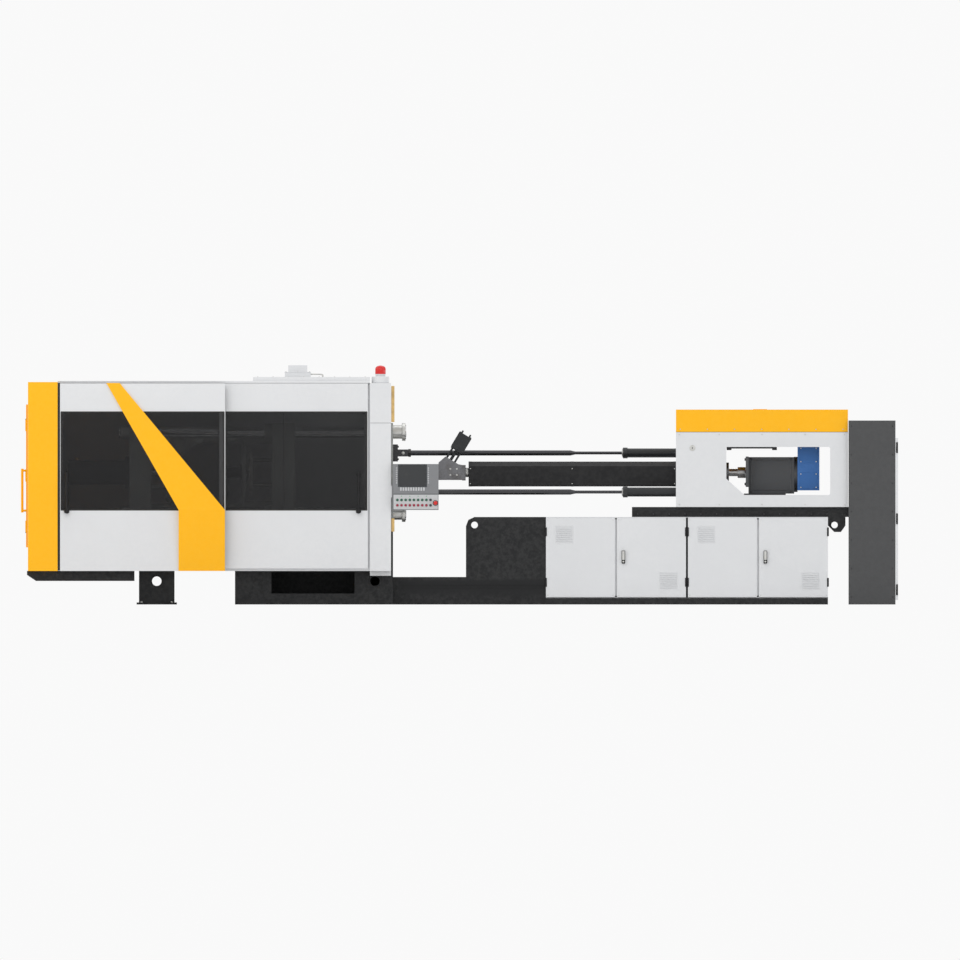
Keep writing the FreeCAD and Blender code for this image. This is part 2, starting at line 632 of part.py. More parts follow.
def roofCover():
    x, z = "(mouldDoorX + 294)", "(guardTop + 21.3)"
    cover = tray((x, "-guardHalf + 20", z), (f"columnX - {x}", "2 * guardHalf - 40", "roofWall + 2"),
                 "sheetWall", "-z")
    top = f"{z} + roofWall + 1"
    duct = f"{x} + 470"
    stack = fuse([box((f"{duct} - 136", "-guardHalf + 220", top), (272, 520, 52)),
                  box((f"{duct} - 100", "-guardHalf + 256", top), (200, 448, 124))])
    bore = box((f"{duct} - 92", "-guardHalf + 264", f"{z} - 1"), (184, 432, 300))
    return cut(fuse([cover, stack]), [bore])


def columns():
    parts = []
    for y in ("-guardHalf", "guardHalf - 200"):
        parts.append(sheets(("columnX", y, "guardBottom"), ("columnLength", 200, "guardTop - guardBottom"),
                            "sheetWall", "-z"))
    beam = box(("columnX", "-guardHalf + 200", "guardTop - 80"), ("columnLength", "2 * guardHalf - 400", 80))
    feet = bothSides("columnX", "bedOuter + 60", "(guardHalf - 100)", "guardBottom - 50", ("columnLength", 50))
    hinge = box(("columnX + columnLength", "-guardHalf - 3", "axisHeight - 260"), (40, 60, 120))
    return group(parts + [beam, hinge] + feet)


def beacon():
    profile = [("0", "0"), ("0", "92"), ("68", "92"), ("68", "50"), ("84", "50"), ("84", "58"),
               ("176", "58"), ("184", "50"), ("184", "0")]
    return turned(profile, ("columnX + columnLength / 2", "-guardHalf + 100", "guardTop"), "z")


def dripTray():
    x, height, end = "endCoverX + 10", "105", f"({endRearX} + 53)"
    outline = [(f"{x} + 95", f"guardBottom - {height}"), (end, f"guardBottom - {height}"),
               (end, "guardBottom"), (x, "guardBottom"), (x, "guardBottom - 42")]
    block = padded("XZ", outline, "2 * guardHalf - 100")
    hollow = box((f"{x} + 100", "-guardHalf + 60", f"guardBottom - {height} + 10"),
                 (f"{end} - {x} - 109", "2 * guardHalf - 120", height))
    return cut(block, [hollow])


outerFace = "guardHalf + doorProud"
node("guard_frame", guardFrame())
node("drip_tray", dripTray())
node("end_cover", endCover())
node("end_door", endDoor())
node("roof_panel", roofPanel())
node("roof_cover", roofCover())
node("mould_columns", columns())
node("beacon", beacon())
node("toggle_door", slidingDoor("toggleDoorX", "toggleDoorLength", outerFace, "guardBottom"))
node("toggle_window", pane("toggleDoorX", "toggleDoorLength", outerFace))
node("toggle_ribbon", ribbon())
node("toggle_handle", doorHandle("toggleDoorX + 70", outerFace))
node("mould_door", slidingDoor("mouldDoorX", "mouldDoorLength", "guardHalf", "guardBottom + 26"))
node("mould_window", pane("mouldDoorX", "mouldDoorLength", "guardHalf"))
node("mould_handle", doorHandle("mouldDoorX + mouldDoorLength - 98", "guardHalf"))
node("rear_guard", sheets(("toggleDoorX", "guardHalf - panelWall - 4", "guardBottom"),
                        ("toggleDoorLength - 4", "panelWall", "guardTop - guardBottom"),
                        "sheetWall", "-y"))
node("rear_door", sheets(("mouldDoorX", "guardHalf", "guardBottom + 26"),
                       ("mouldDoorLength", "panelWall", "guardTop - guardBottom - doorGap - 26"),
                       "sheetWall", "-y"))


# ---- injection base and cabinets ----
cabinetTops = "(cabinetFoot + cabinetHeight + 1)"


def injectionBase():
    groove = [box(("fixedPlaten + 90", y, 166), ("cabinetX - fixedPlaten - 100", 11, 39))
              for y in ("-baseHalf - 1", "baseHalf - 10")]
    low = cut(box(("fixedPlaten", "-baseHalf", 0), ("cabinetX - fixedPlaten", "2 * baseHalf", 289)), groove)
    plinth = box(("cabinetX", "-baseHalf - 30", 0),
                 ("cabinetPitch + cabinetLength", "2 * baseHalf + 60", "cabinetFoot"))
    hole, plug = ("1150", "liftHeight + 590"), ("1150", "liftHeight + 338")
    cheek = [("cabinetX", "289"), ("cabinetX", "baseTop"), ("1150", "baseTop"), ("1085", "baseTop - 30"),
             ("1060", "baseTop - 95"), ("1060", "289")]
    plates = [padded("XZ", cheek, 30, (0, f"{side} * (baseHalf - 15)", 0),
                     [(hole[0], hole[1], "liftRadius - 15")]) for side in SIDES]
    cross = box(("1240", "-baseHalf + 30", 289), (60, "2 * baseHalf - 60", "baseTop - 289"))
    plugs = [acrossY(plug[0], plug[1], 31, low_, high_) for low_, high_ in
             (("-baseHalf - 12", "-baseHalf"), ("baseHalf", "baseHalf + 12"))]
    return group([low, plinth, cross] + plates + plugs)


def cabinetShells():
    shells = [sheets((f"cabinetX + {k} * cabinetPitch", "-cabinetHalf + doorWall", "cabinetFoot"),
                     ("cabinetLength", "2 * cabinetHalf - doorWall", "cabinetHeight + 1"), 12, "-y")
              for k in (0, 1)]
    bridge = box(("cabinetX + cabinetLength", "-cabinetHalf + doorWall + 40", "cabinetFoot"),
                 ("cabinetPitch - cabinetLength", "2 * cabinetHalf - doorWall - 80", "cabinetHeight + 1"))
    return group(shells + [bridge])


def cabinetDoor(number):
    """Doors 1 and 3 hang on their left edges, 2 and 4 on their right edges."""
    cabinet, right = divmod(number - 1, 2)
    width = "(cabinetLength / 2 - 10)"
    x = f"(cabinetX + {cabinet} * cabinetPitch + {right} * (cabinetLength - {width}))"
    z, y = "(cabinetFoot + 10)", "-cabinetHalf"
    slots = [box((f"{x} + {105 + 350 * right}", f"{y} - 1", f"{z} + {575 - 487 * right} + {k} * 22"),
                 (173, 12, 9)) for k in range(8)]
    bores = []
    if right:
        bores = [acrossY(f"{x} + 68", "cabinetFoot + 430", 9.1, f"{y} - 5", f"{y} + 30")]
    door = tray((x, y, z), (width, "doorWall - 2", "cabinetHeight - 20"), 3, "+y", slots + bores)
    edge = f"({x} + {width})" if right else x
    return fuse([door] + [knuckle(edge, y, f"{z} + {up}", 90) for up in (110, 640)])


def latch(cabinet):
    width = "(cabinetLength / 2 - 10)"
    x = f"(cabinetX + {cabinet} * cabinetPitch + cabinetLength - {width} + 68)"
    z = "(cabinetFoot + 430)"
    grip = box((f"{x} - 18", "-cabinetHalf - 26", f"{z} - 68"), (36, 20, 136))
    return fuse([grip, acrossY(x, z, 9, "-cabinetHalf - 10", "-cabinetHalf + 16"),
                 acrossY(x, z, 24, "-cabinetHalf - 8", "-cabinetHalf - 1")])


def injectionRails():
    run = box(("railX", "-injectionHalf + 60", "baseTop"), ("railLength", 90, "railHeight"))
    other = box(("railX", "injectionHalf - 150", "baseTop"), ("railLength", 90, "railHeight"))
    ties = [box((x, "-injectionHalf + 150", "baseTop"), (90, "2 * injectionHalf - 300", 60))
            for x in ("railX", "railX + railLength - 90")]
    end = "(railX + railLength)"
    lugs = [padded("XZ", [(f"{end} - 216", "baseTop"), (f"{end} - 216", "baseTop - 90"),
                          (f"{end} - 150", "baseTop - 158"), (f"{end} - 80", "baseTop - 158"),
                          (f"{end} - 32", "baseTop - 90"), (f"{end} - 32", "baseTop")], 40,
                   (0, f"{side} * (injectionHalf - 80)", 0),
                   [(f"{end} - 147", "baseTop - 84", "liftRadius - 16")]) for side in SIDES]
    return group([run, other] + ties + lugs)


def tallCabinet():
    return sheets(("tallX", "-tallHalf", 0), ("tallLength", "2 * tallHalf", "tallHeight"), 4, "+x")


def tallDoor():
    x = "(tallX + tallLength + 1)"
    door = tray((x, "-tallHalf", 47), (26, "2 * tallHalf", "tallHeight - 231"), 3, "-x")
    return fuse([door] + [knuckle(f"{x} + 17", "-tallHalf - 5", up, 110) for up in (100, 845, 1592)])


node("injection_base", injectionBase())
node("cabinet_shells", cabinetShells())
for number in (1, 2, 3, 4):
    node(f"cabinet_door_{number}", cabinetDoor(number))
node("latch_left", latch(0))
node("latch_right", latch(1))
node("injection_rails", injectionRails())
node("tall_cabinet", tallCabinet())
node("tall_door", tallDoor())


# ---- injection unit ----
nozzleBack = "nozzleX - 19"
valveFace = ("nozzleX - 138", 0, "axisHeight + 134")
wallX = "(housingX + 529)"


def nozzleBlock():
    z = "axisHeight"
    outline = [("nozzleX - 268", f"{z} - 47"), (nozzleBack, f"{z} - 47"), (nozzleBack, f"{z} + 79"),
               ("nozzleX - 60", f"{z} + 87"), ("nozzleX - 81", f"{z} + 100"),
               ("nozzleX - 195", f"{z} + 168"), ("nozzleX - 268", f"{z} + 105")]
    block = padded("XZ", outline, 160)
    bar = box(("nozzleX - 268", -85, f"{z} - 79"), (249, 170, 33))
    flange = box((nozzleBack + " - 1", -95, f"{z} - 84"), (37, 190, 163))
    neck = rod(("nozzleX + 16", 0, z), "x", 47, 31)
    tip = turned([("0", "0"), ("0", "14"), ("12", "26"), ("70", "38"), ("190", "38"), ("190", "0")],
                 ("nozzleX - 450", 0, z))
    body = fuse([block, bar, flange, neck, tip])
    return cut(body, [rod(("nozzleX - 400", 0, z), "x", 12, 460), rod(("nozzleX - 451", 0, z), "x", 3, 60)])


def valveActuator():
    flange = box((-70, -65, 110), (140, 130, 18))
    body = box((-74, -70, 127), (148, 140, 175))
    pillars = [rod((a, b, 0), "z", 11, 111) for a, b in ((-48, -40), (48, -40), (0, 45))]
    pins = [rod((a, 0, 300), "z", 9, 30) for a in (-45, 45)]
    stem = rod((0, 0, 0), "z", 16, 112)
    return place(fuse([flange, body, stem] + pillars + pins), valveFace, Y, "atan(68 / 114)")


def barrel():
    length = f"{wallX} + 27 - (nozzleX + 47)"
    profile = [("0", "screwRadius + 0.4"), ("0", "barrelRadius"), (f"{length} - 27", "barrelRadius"),
               (f"{length} - 27", "barrelRadius + 30"), (length, "barrelRadius + 30"),
               (length, "screwRadius + 0.4")]
    return turned(profile, ("nozzleX + 47", 0, "axisHeight"))


def barrelCover():
    x, half, low, high = "coverX", "coverHalf", "coverBottom", "coverTop"
    outer = padded("YZ", [(f"-{half}", low), (half, low), (half, f"{high} - 48"), (f"{half} - 60", high),
                          (f"-{half} + 60", high), (f"-{half}", f"{high} - 48")],
                   "housingX - coverX", (f"({x} + housingX) / 2", 0, 0))
    hollow = padded("YZ", [(f"-{half} + 3", f"{low} + 3"), (f"{half} - 3", f"{low} + 3"),
                           (f"{half} - 3", f"{high} - 50"), (f"{half} - 62", f"{high} - 3"),
                           (f"-{half} + 62", f"{high} - 3"), (f"-{half} + 3", f"{high} - 50")],
                    "housingX - coverX - 40", (f"({x} + housingX) / 2", 0, 0))
    ends = [rod((place_, 0, "axisHeight"), "x", "barrelRadius", 30) for place_ in
            (f"{x} - 5", "housingX - 25")]
    return cut(outer, [hollow] + ends)


def housing():
    """A floor, four wall sheets and the inner wall that carries the barrel."""
    x, y, z, left = "housingX", "-injectionHalf", "(housingBottom + 0.3)", wallX
    rise = f"housingTop - topHeight - {z} - 20"
    outline = [(left, "axisHeight - 65"), (f"{left} + 190", "axisHeight - 236"),
               (f"{left} + 1078", "axisHeight - 236"), (f"{left} + 1090", "axisHeight - 224"),
               (f"{left} + 1090", "axisHeight + 256"), (f"{left} + 1078", "axisHeight + 268"),
               (left, "axisHeight + 268")]
    parts = [box((x, y, z), ("housingLength", "2 * injectionHalf", 20))]
    for edge in (y, "injectionHalf - 6"):
        parts.append(cut(box((x, edge, f"{z} + 20"), ("housingLength", 6, rise)),
                         [padded("XZ", outline, "4 * injectionHalf")]))
    for at, thick, height in ((x, 6, rise), (f"{left} - 30", 30, 560)):
        parts.append(cut(box((at, f"{y} + 6", f"{z} + 20"), (thick, "2 * injectionHalf - 12", height)),
                         [rod((f"{at} - 1", 0, "axisHeight"), "x", "barrelRadius", 40)]))
    parts.append(box((f"{x} + housingLength - 6", f"{y} + 6", f"{z} + 20"), (6, "2 * injectionHalf - 12", rise)))
    return group(parts)


def housingLid():
    z = "(housingTop - topHeight)"
    return sheets(("housingX", "-injectionHalf", z), ("housingLength", "2 * injectionHalf", "topHeight"),
                  4, "-z")


def screw():
    start, shank = "nozzleX + 60", f"({wallX} + 28)"
    length = f"({shank} - ({start}))"
    profile = [("0", "0"), ("60", "screwRadius - 2"), (f"{length} - 25", "screwRadius - 2"),
               (f"{length} - 25", "screwRadius"), (length, "screwRadius"), (length, "39"),
               (f"{length} + 91", "39"), (f"{length} + 91", "58"), (f"{length} + 175", "58"),
               (f"{length} + 175", "0")]
    return turned(profile, (start, 0, "axisHeight"))


def driveMotor():
    """Bearing plate and plasticising motor in one housing."""
    x = f"({wallX} + 203.5)"
    plate = box((x, -300, "axisHeight - 152"), (30, 600, 320))
    case = box((f"{x} + 29", -185, "axisHeight - 222"), (480, 370, 384))
    ring = rod((f"{x} + 508", 0, "axisHeight - 20"), "x", 185, 36)
    skids = [box((f"{x} - 20", y, "housingBottom + 20.6"), (440, 60, "axisHeight - 220 - housingBottom - 21"))
             for y in (-170, 110)]
    return fuse([plate, case, ring] + skids)


def gearUnit():
    return box((f"{wallX} + 747.5", -200, "axisHeight - 188"), (230, 400, 487))


def carriageRods():
    rods = []
    for side in SIDES:
        z, y = above(side, "carriageZ"), f"{side} * carriageY"
        foot = box(("fixedPlaten", f"{y} - 70", f"{z} - 90"), (51, 140, 180))
        arm = box(("fixedPlaten + 50", f"{y} - 28", f"{z} - 37"), (110, 56, 74))
        profile = [("0", "0"), ("0", "carriageRod"), ("1703", "carriageRod"), ("1755", "16"),
                   ("2290", "16"), ("2290", "39.8"), ("2318", "39.8"), ("2318", "0")]
        rods.append(fuse([foot, arm, turned(profile, ("fixedPlaten + 159", y, z))]))
    return group(rods)


def carriageCylinders():
    length = "housingX - 2709"
    tubes = []
    for side in SIDES:
        profile = [("0", "16.2"), ("0", "carriageRadius + 9"), ("48", "carriageRadius + 9"),
                   ("48", "carriageRadius"), (length, "carriageRadius"), (length, "0"),
                   (f"{length} - 30", "0"), (f"{length} - 30", "40"), ("20", "40"), ("20", "16.2")]
        tubes.append(turned(profile, (2709, f"{side} * carriageY", above(side, "carriageZ"))))
    return group(tubes)


def hmiCase():
    x, y = "columnX + columnLength + 21", "-guardHalf - 70"
    case = box((x, y, "axisHeight - 394"), (478, 64, 483))
    screen = box(("columnX + columnLength + 81", f"{y} - 1", "axisHeight - 145"), (289, 5, 223.5))
    case = cut(case, [screen, acrossY("740", "axisHeight - 320", 12.1, f"{y} - 1", f"{y} + 34")])
    return fuse([case, knuckle("columnX + columnLength + 18", "-guardHalf - 12", "axisHeight - 286", 172)])


def stopButton():
    y = "-guardHalf - 70"
    return fuse([acrossY("740", "axisHeight - 320", 12, f"{y} - 10", f"{y} + 27"),
                 acrossY("740", "axisHeight - 320", 21, f"{y} - 25", f"{y} - 7")])


node("nozzle_block", nozzleBlock())
node("valve_actuator", valveActuator())
node("barrel", barrel())
node("barrel_cover", barrelCover())
node("injection_housing", housing())
node("housing_lid", housingLid())
node("screw", screw())
node("drive_motor", driveMotor())
node("gear_unit", gearUnit())
node("carriage_rods", carriageRods())
node("carriage_cylinders", carriageCylinders())
node("control_panel", hmiCase())
node("stop_button", stopButton())


# ---- check and write every sub-part ----
doc.recompute()
broken = [obj.Label for obj in doc.Objects if "Invalid" in obj.State or "Error" in obj.State]
for obj in nodes:
    if obj.Shape.isNull() or not obj.Shape.isValid() or not obj.Shape.Solids:
        broken.append(obj.Label)
if broken:
    raise RuntimeError("broken: " + ", ".join(broken))
os.makedirs("parts", exist_ok=True)
for obj in nodes:
    obj.Shape.exportStep(os.path.join("parts", obj.Label + ".step"))
print(len(nodes), "sub-parts")
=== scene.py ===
import bpy
import json
import math
import numpy as np
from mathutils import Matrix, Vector


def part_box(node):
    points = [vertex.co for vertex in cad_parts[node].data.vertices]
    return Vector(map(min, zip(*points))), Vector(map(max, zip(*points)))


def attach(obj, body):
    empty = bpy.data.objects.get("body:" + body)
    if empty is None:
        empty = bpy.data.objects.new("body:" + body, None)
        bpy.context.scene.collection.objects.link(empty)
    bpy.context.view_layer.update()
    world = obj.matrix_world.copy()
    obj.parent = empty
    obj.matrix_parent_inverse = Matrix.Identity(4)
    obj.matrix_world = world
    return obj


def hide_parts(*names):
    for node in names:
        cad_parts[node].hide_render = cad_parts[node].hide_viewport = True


# injection moulding machine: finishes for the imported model, and the small fittings on it
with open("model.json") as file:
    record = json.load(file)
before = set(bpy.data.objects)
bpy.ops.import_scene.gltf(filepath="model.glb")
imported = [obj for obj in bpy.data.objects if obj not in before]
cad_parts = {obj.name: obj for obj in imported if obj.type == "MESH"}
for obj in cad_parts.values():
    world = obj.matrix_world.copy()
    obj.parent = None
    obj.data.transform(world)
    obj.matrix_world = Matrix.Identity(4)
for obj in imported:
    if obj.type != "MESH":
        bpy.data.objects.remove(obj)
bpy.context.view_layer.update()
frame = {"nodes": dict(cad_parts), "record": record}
nodes = frame["nodes"]
print("frame loaded:", len(nodes), "nodes")


# shader groups
def newGroup(name, inputs, outputs):
    tree = bpy.data.node_groups.new(name, "ShaderNodeTree")
    for label, kind, value in inputs:
        socket = tree.interface.new_socket(label, in_out="INPUT", socket_type=kind)
        socket.default_value = value
    for label, kind in outputs:
        tree.interface.new_socket(label, in_out="OUTPUT", socket_type=kind)
    return tree, tree.nodes.new("NodeGroupInput"), tree.nodes.new("NodeGroupOutput")


def link(tree, source, target):
    tree.links.new(source, target)


def mathNode(tree, kind, a, b=0.5, clamp=False):
    node = tree.nodes.new("ShaderNodeMath")
    node.operation = kind
    node.use_clamp = clamp
    for k, value in enumerate((a, b)):
        if isinstance(value, (int, float)):
            node.inputs[k].default_value = value
        else:
            link(tree, value, node.inputs[k])
    return node.outputs[0]


def noise(tree, vector, scale, detail=4.0, rough=0.55):
    node = tree.nodes.new("ShaderNodeTexNoise")
    node.inputs["Detail"].default_value = detail
    node.inputs["Roughness"].default_value = rough
    link(tree, vector, node.inputs["Vector"])
    if isinstance(scale, (int, float)):
        node.inputs["Scale"].default_value = scale
    else:
        link(tree, scale, node.inputs["Scale"])
    return node.outputs["Fac"]


def ramp(tree, value, low, high):
    node = tree.nodes.new("ShaderNodeMapRange")
    node.interpolation_type = "SMOOTHSTEP"
    node.inputs["From Min"].default_value = low
    node.inputs["From Max"].default_value = high
    link(tree, value, node.inputs["Value"])
    return node.outputs["Result"]


def coatGroup():
    # sprayed paint: fine orange peel, faint cloudiness, small scuffs and settled dust
    tree, gin, gout = newGroup(
        "sprayedCoat",
        [("Vector", "NodeSocketVector", (0, 0, 0)), ("Base", "NodeSocketColor", (0.5, 0.5, 0.5, 1)),
         ("Peel Scale", "NodeSocketFloat", 260.0), ("Gloss", "NodeSocketFloat", 0.4),
         ("Wear", "NodeSocketFloat", 0.3)],
        [("Color", "NodeSocketColor"), ("Roughness", "NodeSocketFloat"), ("Height", "NodeSocketFloat")])
    vector = gin.outputs["Vector"]
    cloud = noise(tree, vector, 1.7, 5.0)
    peel = noise(tree, vector, gin.outputs["Peel Scale"], 2.0)
    stretch = tree.nodes.new("ShaderNodeMapping")
    stretch.inputs["Scale"].default_value = (1.0, 1.0, 0.12)
    link(tree, vector, stretch.inputs["Vector"])
    scuff = ramp(tree, noise(tree, stretch.outputs["Vector"], 34.0, 6.0, 0.7), 0.62, 0.78)
    grime = ramp(tree, noise(tree, vector, 5.5, 7.0, 0.65), 0.52, 0.74)
    worn = mathNode(tree, "MULTIPLY", scuff, gin.outputs["Wear"])
    dirty = mathNode(tree, "MULTIPLY", grime, gin.outputs["Wear"])
    shade = tree.nodes.new("ShaderNodeHueSaturation")
    link(tree, gin.outputs["Base"], shade.inputs["Color"])
    spread = mathNode(tree, "MULTIPLY_ADD", cloud, 0.07)
    spread.node.inputs[2].default_value = 0.965
    link(tree, spread, shade.inputs["Value"])
    mix = tree.nodes.new("ShaderNodeMix")
    mix.data_type = "RGBA"
    link(tree, mathNode(tree, "MULTIPLY", dirty, 0.22), mix.inputs[0])
    link(tree, shade.outputs["Color"], mix.inputs[6])
    mix.inputs[7].default_value = (0.16, 0.145, 0.12, 1)
    link(tree, mix.outputs[2], gout.inputs["Color"])
    dull = mathNode(tree, "ADD", mathNode(tree, "MULTIPLY", worn, 0.35),
                    mathNode(tree, "MULTIPLY", dirty, 0.3))
    total = mathNode(tree, "ADD", gin.outputs["Gloss"], dull)
    total = mathNode(tree, "ADD", total, mathNode(tree, "MULTIPLY", cloud, 0.06), True)
    link(tree, total, gout.inputs["Roughness"])
    height = mathNode(tree, "SUBTRACT", peel, mathNode(tree, "MULTIPLY", worn, 0.6))
    link(tree, height, gout.inputs["Height"])
    return tree


def metalGroup():
    # machined metal: long fine tool lines, oil film patches, tarnish in the low places
    tree, gin, gout = newGroup(
        "machinedMetal",
        [("Vector", "NodeSocketVector", (0, 0, 0)), ("Base", "NodeSocketColor", (0.5, 0.5, 0.5, 1)),
         ("Line Scale", "NodeSocketVector", (4.0, 160.0, 160.0)), ("Gloss", "NodeSocketFloat", 0.25),
         ("Tarnish", "NodeSocketFloat", 0.4)],
        [("Color", "NodeSocketColor"), ("Roughness", "NodeSocketFloat"), ("Height", "NodeSocketFloat")])
    vector = gin.outputs["Vector"]
    stretch = tree.nodes.new("ShaderNodeVectorMath")
    stretch.operation = "MULTIPLY"
    link(tree, vector, stretch.inputs[0])
    link(tree, gin.outputs["Line Scale"], stretch.inputs[1])
    lines = noise(tree, stretch.outputs[0], 1.0, 3.0)
    film = ramp(tree, noise(tree, vector, 9.0, 6.0, 0.6), 0.42, 0.7)
    stain = mathNode(tree, "MULTIPLY", film, gin.outputs["Tarnish"])
    mix = tree.nodes.new("ShaderNodeMix")
    mix.data_type = "RGBA"
    link(tree, mathNode(tree, "MULTIPLY", stain, 0.6), mix.inputs[0])
    link(tree, gin.outputs["Base"], mix.inputs[6])
    mix.inputs[7].default_value = (0.11, 0.095, 0.075, 1)
    link(tree, mix.outputs[2], gout.inputs["Color"])
    rough = mathNode(tree, "ADD", gin.outputs["Gloss"], mathNode(tree, "MULTIPLY", lines, 0.16))
    rough = mathNode(tree, "ADD", rough, mathNode(tree, "MULTIPLY", stain, 0.25), True)
    link(tree, rough, gout.inputs["Roughness"])
    link(tree, lines, gout.inputs["Height"])
    return tree


def edgeGroup():
    # bare or rubbed corners, from how sharply the surface turns
    tree, gin, gout = newGroup(
        "rubbedEdge",
        [("Vector", "NodeSocketVector", (0, 0, 0)), ("Amount", "NodeSocketFloat", 0.5)],
        [("Mask", "NodeSocketFloat")])
    geometry = tree.nodes.new("ShaderNodeNewGeometry")
    corner = ramp(tree, geometry.outputs["Pointiness"], 0.52, 0.6)
    broken = ramp(tree, noise(tree, gin.outputs["Vector"], 22.0, 6.0, 0.7), 0.35, 0.65)
    mask = mathNode(tree, "MULTIPLY", mathNode(tree, "MULTIPLY", corner, broken),
                    gin.outputs["Amount"], True)
    link(tree, mask, gout.inputs["Mask"])
    return tree


coat, machined, rubbed = coatGroup(), metalGroup(), edgeGroup()


# materials
def newMaterial(name):
    mat = bpy.data.materials.new(name)
    mat.use_nodes = True
    tree = mat.node_tree
    shader = tree.nodes["Principled BSDF"]
    place = tree.nodes.new("ShaderNodeTexCoord").outputs["Object"]
    return mat, tree, shader, place


def useGroup(tree, group, place, values):
    node = tree.nodes.new("ShaderNodeGroup")
    node.node_tree = group
    link(tree, place, node.inputs["Vector"])
    for label, value in values.items():
        node.inputs[label].default_value = value
    return node


def addBump(tree, shader, height, strength, distance):
    bump = tree.nodes.new("ShaderNodeBump")
    bump.inputs["Strength"].default_value = strength
    bump.inputs["Distance"].default_value = distance
    link(tree, height, bump.inputs["Height"])
    link(tree, bump.outputs["Normal"], shader.inputs["Normal"])


def paint(name, colour, gloss=0.32, peel=260.0, wear=0.3, bump=0.12, edge=0.25, bare=None, clear=0.0):
    mat, tree, shader, place = newMaterial(name)
    body = useGroup(tree, coat, place, {"Base": (*colour, 1), "Peel Scale": peel, "Gloss": gloss,
                                        "Wear": wear})
    rub = useGroup(tree, rubbed, place, {"Amount": edge})
    mix = tree.nodes.new("ShaderNodeMix")
    mix.data_type = "RGBA"
    link(tree, rub.outputs["Mask"], mix.inputs[0])
    link(tree, body.outputs["Color"], mix.inputs[6])
    mix.inputs[7].default_value = (*(bare or [min(1, c * 1.25 + 0.03) for c in colour]), 1)
    link(tree, mix.outputs[2], shader.inputs["Base Color"])
    link(tree, body.outputs["Roughness"], shader.inputs["Roughness"])
    shader.inputs["Specular IOR Level"].default_value = 0.28
    shader.inputs["Coat Weight"].default_value = clear
    shader.inputs["Coat Roughness"].default_value = 0.15
    addBump(tree, shader, body.outputs["Height"], bump, 0.0006)
    return mat


def metal(name, colour, gloss=0.22, lines=(4.0, 160.0, 160.0), tarnish=0.35, bump=0.15):
    mat, tree, shader, place = newMaterial(name)
    body = useGroup(tree, machined, place, {"Base": (*colour, 1), "Line Scale": lines, "Gloss": gloss,
                                            "Tarnish": tarnish})
    link(tree, body.outputs["Color"], shader.inputs["Base Color"])
    link(tree, body.outputs["Roughness"], shader.inputs["Roughness"])
    shader.inputs["Metallic"].default_value = 1.0
    addBump(tree, shader, body.outputs["Height"], bump, 0.0003)
    return mat


def window(name):
    # smoked sheet: dark, still see-through, with faint wiping marks in its gloss
    mat, tree, shader, place = newMaterial(name)
    marks = noise(tree, place, 3.2, 7.0, 0.6)
    wiped = mathNode(tree, "MULTIPLY_ADD", marks, 0.1)
    wiped.node.inputs[2].default_value = 0.04
    link(tree, wiped, shader.inputs["Roughness"])
    tint = useGroup(tree, coat, place, {"Base": (0.009, 0.009, 0.01, 1), "Peel Scale": 8.0,
                                        "Gloss": 0.05, "Wear": 0.05})
    link(tree, tint.outputs["Color"], shader.inputs["Base Color"])
    clear = ramp(tree, marks, -0.4, 1.6)
    link(tree, mathNode(tree, "ADD", mathNode(tree, "MULTIPLY", clear, 0.05), 0.56), shader.inputs["Alpha"])
    shader.inputs["Specular IOR Level"].default_value = 0.35
    return mat


def plastic(name, colour, gloss=0.42, grain=900.0, bump=0.2, glow=0.0):
    mat, tree, shader, place = newMaterial(name)
    body = useGroup(tree, coat, place, {"Base": (*colour, 1), "Peel Scale": grain, "Gloss": gloss,
                                        "Wear": 0.2})
    link(tree, body.outputs["Color"], shader.inputs["Base Color"])
    link(tree, body.outputs["Roughness"], shader.inputs["Roughness"])
    if glow:
        link(tree, body.outputs["Color"], shader.inputs["Emission Color"])
        shader.inputs["Emission Strength"].default_value = glow
    addBump(tree, shader, body.outputs["Height"], bump, 0.0002)
    return mat


